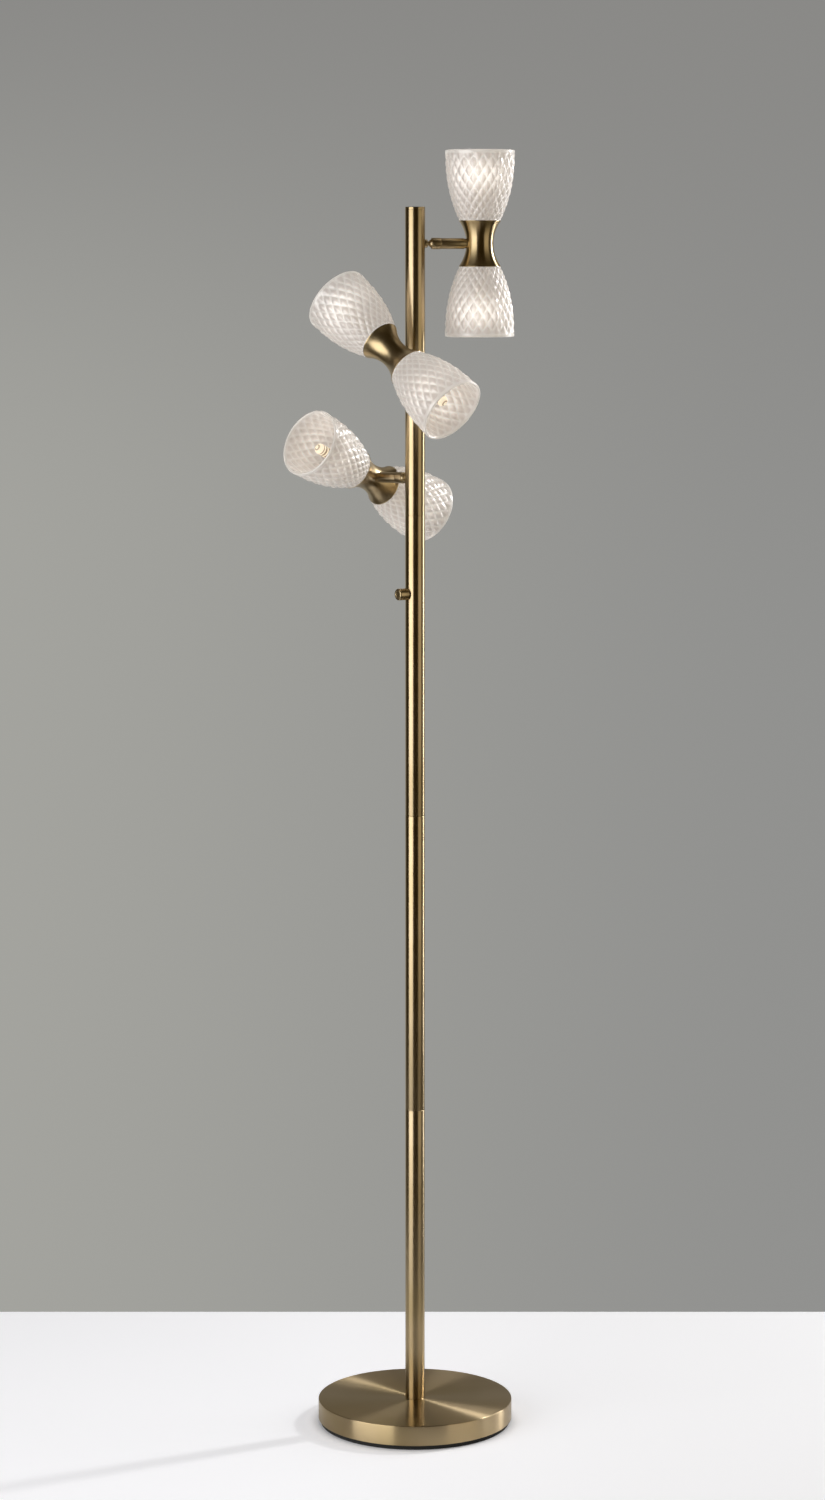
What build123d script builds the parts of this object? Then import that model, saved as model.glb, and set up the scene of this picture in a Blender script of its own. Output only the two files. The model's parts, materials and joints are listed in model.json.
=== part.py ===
from build123d import *

import os
from math import sqrt

# Tree floor lamp with three double-ended swivelling heads, millimetres and degrees.
# +Z is up, the origin is the middle of the pad's underside, and -Y is the front.

# ---- base ----
BASE_RADIUS = 127.0
COVER_HEIGHT = 27.0
COVER_WALL = 1.5
COVER_BEVEL = 1.0
PAD_HEIGHT = 5.0
PAD_RECESS = 6.0
WEIGHT_GAP = 1.0
ROD_RADIUS = 5.0
ROD_BORE = 3.2
ROD_LENGTH = 48.0
ROD_TAIL = 1.0
THREAD_CLEARANCE = 0.05
NUT_FLATS = 17.0
NUT_THICKNESS = 6.0
WASHER_RADIUS = 17.0
WASHER_THICKNESS = 2.0
POCKET_RADIUS = 22.0
POCKET_DEPTH = 12.0
CHANNEL_WIDTH = 9.0

# ---- cord inlet bushing, at the back of the cover ----
BUSHING_HEIGHT = 14.0
BUSHING_BODY = 4.9
BUSHING_BORE = 3.2
BUSHING_FLANGE = 6.5
BUSHING_LIP = 5.9
BUSHING_PROUD = 2.0
BUSHING_DEPTH = 4.0
BUSHING_SIDE_GAP = 0.1
BUSHING_ROOM = 16.0
BUSHING_ROOM_DEPTH = 8.0

# ---- pole ----
TUBE_RADIUS = 12.7
TUBE_WALL = 1.2
TUBE_LENGTH = 387.0
TUBE_COUNT = 4
TUBE_SEAM = 0.3
INSERT_GAP = 0.05
COUPLER_LENGTH = 36.0
COUPLER_BORE = 8.5
FOOT_LENGTH = 20.0
CAP_THICKNESS = 3.0
CAP_SPIGOT = 12.0
CAP_BORE = 9.5
CAP_BEVEL = 0.6

# ---- ball swivels ----
BALL_RADIUS = 5.9
BALL_OFFSET = 23.0
BALL_CLEARANCE = 0.05
STEM_RADIUS = 3.0
STEM_BORE = 2.0
STUD_THREAD = 4.0
STUD_HUB = 5.2
STUD_HUB_END = 15.6
STUD_INNER_END = 6.0
STUD_NUT_FLATS = 11.0
STUD_NUT_THICKNESS = 2.8
STUD_NUT_FACE = 9.4
COLLAR_RADIUS = 7.2
COLLAR_BORE = 6.5
COLLAR_MOUTH = -1.9
COLLAR_END = 9.6
COLLAR_GROOVE = 0.4
COLLAR_BEVEL = 0.3
SEAT_WALL = 0.45
SEAT_MOUTH = -1.4
SEAT_BORE = 3.2
SPIGOT_GAP = 0.27
RUNNING_GAP = 0.07

# ---- arms ----
REACH = 61.0
ARM_RADIUS = 6.8
ARM_BORE = 2.2
ARM_NECK = 6.1
ARM_NECK_LENGTH = 3.2
ARM_TIP = 5.0
ARM_TIP_END = 51.2
ARM_NUT_FLATS = 12.0
ARM_NUT_START = 47.3
ARM_NUT_THICKNESS = 3.2

# ---- spools ----
SPOOL_HALF = 29.0
SPOOL_WAIST = 17.4
SPOOL_FLANGE = 26.8
SPOOL_WALL = 1.6
DISC_THICKNESS = 2.0
DISC_RADIUS = 24.75
DISC_GAP = 0.05
LEDGE = 1.1
HOLE_GAP = 0.1

# ---- glass shades ----
SHADE_LENGTH = 88.4
SHADE_SEAT_GAP = 0.1
GLASS = 3.0
SHADE_FLOOR = 3.2
SHADE_HOLE = 13.6
SHADE_NECK = 26.4
SHADE_BELLY = 44.3
SHADE_SWELL = 2.4
SHADE_STATIONS = 5

# ---- lampholders and bulbs ----
HOLDER_START = 20.0
HOLDER_SHOULDER = 16.0
HOLDER_SHOULDER_START = 24.0
HOLDER_LOWER = 12.0
HOLDER_SLEEVE = 13.0
HOLDER_SLEEVE_END = 40.0
HOLDER_TOP = 11.0
HOLDER_END = 45.0
SOCKET_WIDTH = 11.4
SOCKET_DEPTH_ACROSS = 6.0
SOCKET_DEPTH = 9.0
RING_RADIUS = 19.0
RING_THICKNESS = 4.0
RING_SEAT_GAP = 0.1
BULB_RADIUS = 7.0
BULB_TIP = 103.0
BULB_SEAT_GAP = 0.1
PINCH_GAP = 0.3

# ---- switch ----
SWITCH_DROP = 100.0
SWITCH_AZIMUTH = 215.0
SWITCH_BODY = 7.5
SWITCH_BACK = -6.5
SWITCH_FRONT = 7.5
SWITCH_NECK = 4.9
SWITCH_NECK_END = 15.6
SHAFT_RADIUS = 3.0
SHAFT_START = -3.0
SHAFT_END = 23.9
SHAFT_GAP = 0.05
SWITCH_NUT_FLATS = 11.0
SWITCH_NUT_START = 12.8
SWITCH_NUT_END = 15.3
KNOB_RADIUS = 7.5
KNOB_START = 13.3
KNOB_END = 27.5
KNOB_RECESS = 6.7
KNOB_RECESS_END = 16.3
KNOB_ROUND = 1.8
KNOB_DISH = 4.6
KNOB_DISH_DEPTH = 0.6

# ---- how each head is set: swivel under the pole's top or over its top seam, and its angles ----
HEAD1_DROP = 43.0
HEAD2_DROP = 207.5
HEAD3_RISE = 47.0
HEAD_AZIMUTH = {"head1": 12.0, "head2": 252.0, "head3": 132.0}
ARM_AZIMUTH = {"head1": 12.0, "head2": 249.5, "head3": 136.0}
ARM_TILT_ANGLE = {"head1": 0.0, "head2": 26.0, "head3": -1.4}
ARM_TURN_ANGLE = {"head1": 0.0, "head2": 129.9, "head3": 65.8}

# ---- derived places ----
COVER_TOP = PAD_HEIGHT + COVER_HEIGHT
WEIGHT_TOP = COVER_TOP - COVER_WALL
WEIGHT_RADIUS = BASE_RADIUS - COVER_WALL - WEIGHT_GAP
POCKET_TOP = PAD_HEIGHT + POCKET_DEPTH
NUT_TOP = POCKET_TOP - WASHER_THICKNESS
ROD_START = NUT_TOP - NUT_THICKNESS - ROD_TAIL
TUBE_BORE = TUBE_RADIUS - TUBE_WALL
INSERT_RADIUS = TUBE_BORE - INSERT_GAP
POLE_TOP = COVER_TOP + TUBE_COUNT * TUBE_LENGTH
TOP_SEAM = POLE_TOP - TUBE_LENGTH
HEAD_HEIGHT = {
    "head1": POLE_TOP - HEAD1_DROP,
    "head2": POLE_TOP - HEAD2_DROP,
    "head3": TOP_SEAM + HEAD3_RISE,
}
SWITCH_HEIGHT = TOP_SEAM - SWITCH_DROP
SEAT_INNER = BALL_RADIUS + BALL_CLEARANCE
SEAT_OUTER = SEAT_INNER + SEAT_WALL
CAVITY = SEAT_OUTER + BALL_CLEARANCE
SPIGOT_RADIUS = COLLAR_BORE - RUNNING_GAP
ARM_START = COLLAR_END + COLLAR_GROOVE
DISC_START = SPOOL_HALF - DISC_THICKNESS
SHADE_START = SPOOL_HALF + SHADE_SEAT_GAP
SHADE_END = SHADE_START + SHADE_LENGTH
SHADE_INSIDE = SHADE_START + SHADE_FLOOR
RING_START = SHADE_INSIDE + RING_SEAT_GAP
BULB_START = HOLDER_END + BULB_SEAT_GAP


def radial_plane(azimuth, height):
    """Plane through the pole axis whose x runs outwards at the azimuth and whose y is up."""
    outward = Vector(1, 0, 0).rotate(Axis.Z, azimuth)
    return Plane(origin=(0, 0, height), x_dir=outward, z_dir=outward.cross(Vector(0, 0, 1)))


def arm_plane(name):
    """Plane at a head's ball centre: x along the arm, y along the head's upper axis."""
    stub = radial_plane(HEAD_AZIMUTH[name], HEAD_HEIGHT[name])
    aim = radial_plane(ARM_AZIMUTH[name], 0.0)
    along = aim.x_dir.rotate(Axis((0, 0, 0), aim.z_dir), ARM_TILT_ANGLE[name])
    upper = aim.y_dir.rotate(Axis((0, 0, 0), aim.z_dir), ARM_TILT_ANGLE[name])
    upper = upper.rotate(Axis((0, 0, 0), along), -ARM_TURN_ANGLE[name])
    return Plane(
        origin=stub.origin + stub.x_dir * BALL_OFFSET,
        x_dir=along,
        z_dir=along.cross(upper),
    )


def along_x(plane):
    """The plane's own x direction as an axis, the turning axis of pieces turned about an arm."""
    return Axis(plane.origin, plane.x_dir)


def along_y(plane):
    """The plane's own y direction as an axis, the turning axis of pieces turned about a head."""
    return Axis(plane.origin, plane.y_dir)


def end_on(plane, distance):
    """Plane square to the plane's x direction, the given distance along it."""
    return Plane(origin=plane.origin + plane.x_dir * distance, x_dir=plane.y_dir, z_dir=plane.x_dir)


def finish(piece, label):
    """Name a finished piece and write it."""
    piece.part.label = label
    export_step(piece.part, f"parts/{label}.step")


# ---------------------------------------------------------------- base
with BuildPart() as base_pad:
    with BuildSketch():
        Circle(BASE_RADIUS - PAD_RECESS)
    extrude(amount=PAD_HEIGHT)
finish(base_pad, "base_pad")

with BuildPart() as base_weight:
    with BuildSketch(Plane.XY.offset(PAD_HEIGHT)):
        Circle(WEIGHT_RADIUS)
    extrude(amount=WEIGHT_TOP - PAD_HEIGHT)
    with BuildSketch(Plane.XY.offset(PAD_HEIGHT)):
        Circle(POCKET_RADIUS)
    extrude(amount=POCKET_DEPTH, mode=Mode.SUBTRACT)
    # wire channel from the middle pocket to the back, wider where the bushing stands in
    with BuildSketch(Plane.XY.offset(PAD_HEIGHT)):
        Rectangle(CHANNEL_WIDTH, BASE_RADIUS, align=(Align.CENTER, Align.MIN))
    extrude(amount=POCKET_DEPTH, mode=Mode.SUBTRACT)
    with BuildSketch(Plane.XY.offset(PAD_HEIGHT)):
        with Locations((0, WEIGHT_RADIUS)):
            Rectangle(BUSHING_ROOM, 2 * BUSHING_ROOM_DEPTH)
    extrude(amount=BUSHING_ROOM, mode=Mode.SUBTRACT)
    with BuildSketch(Plane.XY.offset(WEIGHT_TOP)):
        Circle(ROD_RADIUS + HOLE_GAP)
    extrude(amount=-WEIGHT_TOP, mode=Mode.SUBTRACT)
finish(base_weight, "base_weight")

with BuildPart() as base_cover:
    with BuildSketch(Plane.XY.offset(PAD_HEIGHT)):
        Circle(BASE_RADIUS)
    extrude(amount=COVER_HEIGHT)
    chamfer(base_cover.faces().sort_by(Axis.Z)[-1].outer_wire().edges(), COVER_BEVEL)
    with BuildSketch(Plane.XY.offset(PAD_HEIGHT)):
        Circle(BASE_RADIUS - COVER_WALL)
    extrude(amount=COVER_HEIGHT - COVER_WALL, mode=Mode.SUBTRACT)
    with BuildSketch(Plane.XY.offset(COVER_TOP)):
        Circle(ROD_RADIUS + HOLE_GAP)
    extrude(amount=-COVER_WALL, mode=Mode.SUBTRACT)
    # inlet hole through the skirt at the back
    with BuildSketch(Plane(origin=(0, BASE_RADIUS, BUSHING_HEIGHT), z_dir=(0, -1, 0))):
        Circle(BUSHING_BODY + BUSHING_SIDE_GAP)
    extrude(amount=BUSHING_DEPTH, mode=Mode.SUBTRACT)
finish(base_cover, "base_cover")

inlet = Plane(origin=(0, BASE_RADIUS, BUSHING_HEIGHT), x_dir=(0, 1, 0), z_dir=(1, 0, 0))
lip_face = -COVER_WALL - 2 * BUSHING_SIDE_GAP
with BuildPart() as cord_bushing:
    with BuildSketch(inlet):
        with BuildLine():
            Polyline(
                (-BUSHING_DEPTH, BUSHING_BORE),
                (BUSHING_PROUD, BUSHING_BORE),
                (BUSHING_PROUD, BUSHING_FLANGE),
                (0, BUSHING_FLANGE),
                (0, BUSHING_BODY),
                (lip_face, BUSHING_BODY),
                (lip_face, BUSHING_LIP),
                (-BUSHING_DEPTH, BUSHING_BODY),
                close=True,
            )
        make_face()
    revolve(axis=along_x(inlet))
finish(cord_bushing, "cord_bushing")

with BuildPart() as base_rod:
    with BuildSketch(Plane.XY.offset(ROD_START)):
        Circle(ROD_RADIUS)
        Circle(ROD_BORE, mode=Mode.SUBTRACT)
    extrude(amount=ROD_LENGTH)
finish(base_rod, "base_rod")

with BuildPart() as base_washer:
    with BuildSketch(Plane.XY.offset(NUT_TOP)):
        Circle(WASHER_RADIUS)
        Circle(ROD_RADIUS + HOLE_GAP, mode=Mode.SUBTRACT)
    extrude(amount=WASHER_THICKNESS)
finish(base_washer, "base_washer")

with BuildPart() as base_nut:
    with BuildSketch(Plane.XY.offset(NUT_TOP)):
        RegularPolygon(NUT_FLATS / 2, 6, major_radius=False)
        Circle(ROD_RADIUS + THREAD_CLEARANCE, mode=Mode.SUBTRACT)
    extrude(amount=-NUT_THICKNESS)
finish(base_nut, "base_nut")

# ---------------------------------------------------------------- pole
for section in range(TUBE_COUNT):
    foot = COVER_TOP + section * TUBE_LENGTH
    with BuildPart() as tube:
        with BuildSketch(Plane.XY.offset(foot)):
            Circle(TUBE_RADIUS)
        extrude(amount=TUBE_LENGTH)
        chamfer(tube.faces().filter_by(Axis.Z).edges(), TUBE_SEAM)
        with BuildSketch(Plane.XY.offset(foot)):
            Circle(TUBE_BORE)
        extrude(amount=TUBE_LENGTH, mode=Mode.SUBTRACT)
        # holes for the swivel studs in the top tube and for the switch neck in the one below
        for name, height in HEAD_HEIGHT.items():
            if foot < height < foot + TUBE_LENGTH:
                with BuildSketch(end_on(radial_plane(HEAD_AZIMUTH[name], height), 0.0)):
                    Circle(STUD_THREAD + THREAD_CLEARANCE)
                extrude(amount=2 * TUBE_RADIUS, mode=Mode.SUBTRACT)
        if foot < SWITCH_HEIGHT < foot + TUBE_LENGTH:
            with BuildSketch(end_on(radial_plane(SWITCH_AZIMUTH, SWITCH_HEIGHT), 0.0)):
                Circle(SWITCH_NECK + HOLE_GAP)
            extrude(amount=2 * TUBE_RADIUS, mode=Mode.SUBTRACT)
    finish(tube, f"pole_tube_{section + 1}")

with BuildPart() as pole_couplers:
    for joint in range(1, TUBE_COUNT):
        middle = COVER_TOP + joint * TUBE_LENGTH
        with BuildSketch(Plane.XY.offset(middle - COUPLER_LENGTH / 2)):
            Circle(INSERT_RADIUS)
            Circle(COUPLER_BORE, mode=Mode.SUBTRACT)
        extrude(amount=COUPLER_LENGTH)
finish(pole_couplers, "pole_couplers")

with BuildPart() as pole_foot_insert:
    with BuildSketch(Plane.XY.offset(COVER_TOP)):
        Circle(INSERT_RADIUS)
        Circle(ROD_RADIUS + THREAD_CLEARANCE, mode=Mode.SUBTRACT)
    extrude(amount=FOOT_LENGTH)
finish(pole_foot_insert, "pole_foot_insert")

with BuildPart() as pole_cap:
    with BuildSketch(Plane.XY.offset(POLE_TOP)):
        Circle(TUBE_RADIUS)
    extrude(amount=CAP_THICKNESS)
    chamfer(pole_cap.faces().sort_by(Axis.Z)[-1].edges(), CAP_BEVEL)
    with BuildSketch(Plane.XY.offset(POLE_TOP)):
        Circle(INSERT_RADIUS)
        Circle(CAP_BORE, mode=Mode.SUBTRACT)
    extrude(amount=-CAP_SPIGOT)
finish(pole_cap, "pole_cap")

# ---------------------------------------------------------------- fixed halves of the ball swivels
def sphere_height(radius, distance):
    """Height of a sphere about the ball's centre at a distance along the arm."""
    return sqrt(radius**2 - distance**2)


stem_end = BALL_OFFSET - sphere_height(BALL_RADIUS, STEM_RADIUS)
with BuildPart() as ball_studs:
    for name, height in HEAD_HEIGHT.items():
        stub = radial_plane(HEAD_AZIMUTH[name], height)
        with BuildSketch(stub):
            with BuildLine():
                Polyline(
                    (BALL_OFFSET + BALL_RADIUS, 0),
                    (TUBE_BORE, 0),
                    (TUBE_BORE, STUD_HUB),
                    (STUD_HUB_END, STUD_HUB),
                    (STUD_HUB_END, STEM_RADIUS),
                    (stem_end, STEM_RADIUS),
                )
                ThreePointArc(
                    (stem_end, STEM_RADIUS),
                    (BALL_OFFSET, BALL_RADIUS),
                    (BALL_OFFSET + BALL_RADIUS, 0),
                )
            make_face()
        revolve(axis=along_x(stub))
    # the hubs are saddled to the pole, then the threaded ends run on through its wall
    with BuildSketch(Plane.XY.offset(COVER_TOP)):
        Circle(TUBE_RADIUS + THREAD_CLEARANCE)
    extrude(amount=POLE_TOP - COVER_TOP, mode=Mode.SUBTRACT)
    for name, height in HEAD_HEIGHT.items():
        stub = radial_plane(HEAD_AZIMUTH[name], height)
        with BuildSketch(end_on(stub, STUD_INNER_END)):
            Circle(STUD_THREAD)
        extrude(amount=STUD_HUB_END - STUD_INNER_END)
        with BuildSketch(end_on(stub, 0.0)):
            Circle(STEM_BORE)
        extrude(amount=BALL_OFFSET + 2 * BALL_RADIUS, mode=Mode.SUBTRACT)
finish(ball_studs, "ball_studs")

with BuildPart() as stud_nuts:
    for name, height in HEAD_HEIGHT.items():
        with BuildSketch(end_on(radial_plane(HEAD_AZIMUTH[name], height), STUD_NUT_FACE)):
            RegularPolygon(STUD_NUT_FLATS / 2, 6, major_radius=False)
            Circle(STUD_THREAD + THREAD_CLEARANCE, mode=Mode.SUBTRACT)
        extrude(amount=-STUD_NUT_THICKNESS)
finish(stud_nuts, "stud_nuts")


# ---------------------------------------------------------------- pieces of one head
def make_seat(plane):
    """Plastic ball seat: thin round cup between the ball and the swivel cap, free to turn in both."""
    inner_end = sphere_height(SEAT_INNER, SEAT_BORE)
    outer_end = sphere_height(SEAT_OUTER, SEAT_BORE)
    with BuildPart() as seat:
        with BuildSketch(plane):
            with BuildLine():
                ThreePointArc(
                    (SEAT_MOUTH, sphere_height(SEAT_INNER, SEAT_MOUTH)),
                    (0, SEAT_INNER),
                    (inner_end, SEAT_BORE),
                )
                Line((inner_end, SEAT_BORE), (outer_end, SEAT_BORE))
                ThreePointArc(
                    (outer_end, SEAT_BORE),
                    (0, SEAT_OUTER),
                    (SEAT_MOUTH, sphere_height(SEAT_OUTER, SEAT_MOUTH)),
                )
                Line(
                    (SEAT_MOUTH, sphere_height(SEAT_OUTER, SEAT_MOUTH)),
                    (SEAT_MOUTH, sphere_height(SEAT_INNER, SEAT_MOUTH)),
                )
            make_face()
        revolve(axis=along_x(plane))
    return seat


def make_collar(plane):
    """Swivel cap: grips the ball's seat behind its middle and screws over the arm's end."""
    middle = COLLAR_MOUTH / 2
    with BuildPart() as collar:
        with BuildSketch(plane):
            with BuildLine():
                ThreePointArc(
                    (COLLAR_MOUTH, sphere_height(CAVITY, COLLAR_MOUTH)),
                    (middle, sphere_height(CAVITY, middle)),
                    (0, CAVITY),
                )
                Polyline(
                    (0, CAVITY),
                    (0, COLLAR_BORE),
                    (COLLAR_END, COLLAR_BORE),
                    (COLLAR_END, COLLAR_RADIUS - COLLAR_BEVEL),
                    (COLLAR_END - COLLAR_BEVEL, COLLAR_RADIUS),
                    (COLLAR_MOUTH + COLLAR_BEVEL, COLLAR_RADIUS),
                    (COLLAR_MOUTH, COLLAR_RADIUS - COLLAR_BEVEL),
                    (COLLAR_MOUTH, sphere_height(CAVITY, COLLAR_MOUTH)),
                )
            make_face()
        revolve(axis=along_x(plane))
    return collar


def make_arm(plane, hub):
    """Arm tube: spigot in the collar, tube, coped neck on the spool and threaded tip inside it."""
    spigot = SEAT_OUTER + SPIGOT_GAP
    neck = REACH - SPOOL_WAIST
    with BuildPart() as arm:
        with BuildSketch(plane):
            with BuildLine():
                Polyline(
                    (spigot, 0),
                    (spigot, SPIGOT_RADIUS),
                    (ARM_START, SPIGOT_RADIUS),
                    (ARM_START, ARM_RADIUS),
                    (neck - ARM_NECK_LENGTH, ARM_RADIUS),
                    (neck - ARM_NECK_LENGTH, ARM_NECK),
                    (neck + SPOOL_WALL, ARM_NECK),
                    (neck + SPOOL_WALL, 0),
                    close=True,
                )
            make_face()
        revolve(axis=along_x(plane))
        # cope the neck to the spool's waist
        with BuildSketch(hub):
            with BuildLine():
                ThreePointArc(
                    (SPOOL_FLANGE, -SPOOL_HALF),
                    (SPOOL_WAIST + THREAD_CLEARANCE, 0),
                    (SPOOL_FLANGE, SPOOL_HALF),
                )
                Polyline(
                    (SPOOL_FLANGE, SPOOL_HALF),
                    (0, SPOOL_HALF),
                    (0, -SPOOL_HALF),
                    (SPOOL_FLANGE, -SPOOL_HALF),
                )
            make_face()
        revolve(axis=along_y(hub), mode=Mode.SUBTRACT)
        with BuildSketch(end_on(plane, neck - ARM_NECK_LENGTH)):
            Circle(ARM_TIP)
        extrude(amount=ARM_TIP_END - neck + ARM_NECK_LENGTH)
        with BuildSketch(end_on(plane, 0.0)):
            Circle(ARM_BORE)
        extrude(amount=REACH, mode=Mode.SUBTRACT)
    return arm


def make_arm_nut(plane):
    """Hexagon nut on the arm's tip, inside the spool."""
    with BuildPart() as nut:
        with BuildSketch(end_on(plane, ARM_NUT_START)):
            RegularPolygon(ARM_NUT_FLATS / 2, 6, major_radius=False)
            Circle(ARM_TIP + THREAD_CLEARANCE, mode=Mode.SUBTRACT)
        extrude(amount=ARM_NUT_THICKNESS)
    return nut


def make_spool(plane, hub):
    """Hourglass spool: thin turned shell with a seat for a disc at each end."""
    pocket = DISC_RADIUS + DISC_GAP
    ledge = pocket - LEDGE
    with BuildPart() as spool:
        with BuildSketch(hub):
            with BuildLine():
                ThreePointArc(
                    (SPOOL_FLANGE, -SPOOL_HALF), (SPOOL_WAIST, 0), (SPOOL_FLANGE, SPOOL_HALF)
                )
                Polyline(
                    (SPOOL_FLANGE, SPOOL_HALF),
                    (pocket, SPOOL_HALF),
                    (pocket, DISC_START),
                    (ledge, DISC_START),
                )
                ThreePointArc(
                    (ledge, DISC_START), (SPOOL_WAIST - SPOOL_WALL, 0), (ledge, -DISC_START)
                )
                Polyline(
                    (ledge, -DISC_START),
                    (pocket, -DISC_START),
                    (pocket, -SPOOL_HALF),
                    (SPOOL_FLANGE, -SPOOL_HALF),
                )
            make_face()
        revolve(axis=along_y(hub))
        with BuildSketch(end_on(plane, REACH)):
            Circle(ARM_TIP + HOLE_GAP)
        extrude(amount=-SPOOL_FLANGE, mode=Mode.SUBTRACT)
    return spool


def make_end_discs(ends):
    """Steel disc closing each end of the spool, with the lampholder's hole."""
    with BuildPart() as discs:
        for end in ends:
            with BuildSketch(end):
                with BuildLine():
                    Polyline(
                        (HOLDER_SLEEVE + HOLE_GAP, DISC_START),
                        (DISC_RADIUS, DISC_START),
                        (DISC_RADIUS, SPOOL_HALF),
                        (HOLDER_SLEEVE + HOLE_GAP, SPOOL_HALF),
                        close=True,
                    )
                make_face()
            revolve(axis=along_y(end))
    return discs


def shade_radius(share):
    """Outer radius of the glass at a share of its height, a rounded bell that straightens."""
    swell = 1.0 - (1.0 - share) ** SHADE_SWELL
    return SHADE_NECK + (SHADE_BELLY - SHADE_NECK) * swell


def make_shade(end):
    """Pressed glass bell with a flat pierced floor and a rounded open rim."""
    lip = GLASS / 2
    rise = SHADE_LENGTH - lip
    shares = [step / SHADE_STATIONS for step in range(SHADE_STATIONS + 1)]
    outside = [(shade_radius(share), SHADE_START + share * rise) for share in shares]
    inner_rise = SHADE_END - lip - SHADE_INSIDE
    inside = [
        (
            shade_radius((SHADE_INSIDE - SHADE_START + share * inner_rise) / rise) - GLASS,
            SHADE_INSIDE + share * inner_rise,
        )
        for share in shares
    ]
    with BuildPart() as shade:
        with BuildSketch(end):
            with BuildLine():
                Spline(*outside)
                ThreePointArc(
                    outside[-1],
                    ((outside[-1][0] + inside[-1][0]) / 2, SHADE_END),
                    inside[-1],
                )
                Spline(*inside)
                Polyline(
                    inside[0],
                    (SHADE_HOLE, SHADE_INSIDE),
                    (SHADE_HOLE, SHADE_START),
                    outside[0],
                )
            make_face()
        revolve(axis=along_y(end))
    return shade


def make_holder(end):
    """Ceramic lampholder: shoulder under the disc, threaded sleeve, socket for the bulb's foot."""
    with BuildPart() as holder:
        with BuildSketch(end):
            with BuildLine():
                Polyline(
                    (0, HOLDER_START),
                    (HOLDER_LOWER, HOLDER_START),
                    (HOLDER_LOWER, HOLDER_SHOULDER_START),
                    (HOLDER_SHOULDER, HOLDER_SHOULDER_START),
                    (HOLDER_SHOULDER, DISC_START),
                    (HOLDER_SLEEVE, DISC_START),
                    (HOLDER_SLEEVE, HOLDER_SLEEVE_END),
                    (HOLDER_TOP, HOLDER_SLEEVE_END),
                    (HOLDER_TOP, HOLDER_END),
                    (0, HOLDER_END),
                    close=True,
                )
            make_face()
        revolve(axis=along_y(end))
        with BuildSketch(foot_plane(end, HOLDER_END)):
            Rectangle(SOCKET_WIDTH, SOCKET_DEPTH_ACROSS)
        extrude(amount=-SOCKET_DEPTH, mode=Mode.SUBTRACT)
    return holder


def foot_plane(end, height):
    """Plane square to the head's axis at a height towards this end, x along the arm."""
    return Plane(origin=end.origin + end.y_dir * height, x_dir=end.x_dir, z_dir=end.y_dir)


def make_ring_nuts(ends):
    """Ring nut on each lampholder sleeve, clamping the glass."""
    with BuildPart() as rings:
        for end in ends:
            with BuildSketch(end):
                with BuildLine():
                    Polyline(
                        (HOLDER_SLEEVE + THREAD_CLEARANCE, RING_START),
                        (RING_RADIUS, RING_START),
                        (RING_RADIUS, RING_START + RING_THICKNESS),
                        (HOLDER_SLEEVE + THREAD_CLEARANCE, RING_START + RING_THICKNESS),
                        close=True,
                    )
                make_face()
            revolve(axis=along_y(end))
    return rings


def make_bulb(end):
    """Capsule bulb: flat pinched foot in the socket and a round-ended body."""
    shoulder = BULB_TIP - BULB_RADIUS
    with BuildPart() as bulb:
        with BuildSketch(end):
            with BuildLine():
                Polyline(
                    (0, BULB_TIP),
                    (0, BULB_START),
                    (BULB_RADIUS, BULB_START),
                    (BULB_RADIUS, shoulder),
                )
                RadiusArc((BULB_RADIUS, shoulder), (0, BULB_TIP), -BULB_RADIUS)
            make_face()
        revolve(axis=along_y(end))
        with BuildSketch(foot_plane(end, BULB_START)):
            Rectangle(SOCKET_WIDTH - 2 * PINCH_GAP, SOCKET_DEPTH_ACROSS - 2 * PINCH_GAP)
        extrude(amount=-(SOCKET_DEPTH - PINCH_GAP))
    return bulb


for head in HEAD_HEIGHT:
    frame = arm_plane(head)
    centre = frame.origin + frame.x_dir * REACH
    upper = Plane(origin=centre, x_dir=frame.x_dir, z_dir=frame.z_dir)
    lower = Plane(origin=centre, x_dir=frame.x_dir, z_dir=-frame.z_dir)
    finish(make_seat(frame), f"{head}_seat")
    finish(make_collar(frame), f"{head}_collar")
    finish(make_arm(frame, lower), f"{head}_arm")
    finish(make_arm_nut(frame), f"{head}_arm_nut")
    finish(make_spool(frame, upper), f"{head}_spool")
    finish(make_end_discs((upper, lower)), f"{head}_end_discs")
    finish(make_ring_nuts((upper, lower)), f"{head}_ring_nuts")
    for side, end in (("a", upper), ("b", lower)):
        finish(make_shade(end), f"{head}_shade_{side}")
        finish(make_holder(end), f"{head}_holder_{side}")
        finish(make_bulb(end), f"{head}_bulb_{side}")

# ---------------------------------------------------------------- switch and knob
knob_plane = radial_plane(SWITCH_AZIMUTH, SWITCH_HEIGHT)

with BuildPart() as switch_body:
    with BuildSketch(end_on(knob_plane, SWITCH_BACK)):
        Circle(SWITCH_BODY)
    extrude(amount=SWITCH_FRONT - SWITCH_BACK)
    with BuildSketch(end_on(knob_plane, SWITCH_FRONT)):
        Circle(SWITCH_NECK)
    extrude(amount=SWITCH_NECK_END - SWITCH_FRONT)
    with BuildSketch(end_on(knob_plane, SHAFT_START - SHAFT_GAP)):
        Circle(SHAFT_RADIUS + SHAFT_GAP)
    extrude(amount=KNOB_END, mode=Mode.SUBTRACT)
finish(switch_body, "switch_body")

with BuildPart() as switch_nut:
    with BuildSketch(end_on(knob_plane, SWITCH_NUT_START)):
        RegularPolygon(SWITCH_NUT_FLATS / 2, 6, major_radius=False)
        Circle(SWITCH_NECK + THREAD_CLEARANCE, mode=Mode.SUBTRACT)
    extrude(amount=SWITCH_NUT_END - SWITCH_NUT_START)
finish(switch_nut, "switch_nut")

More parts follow.
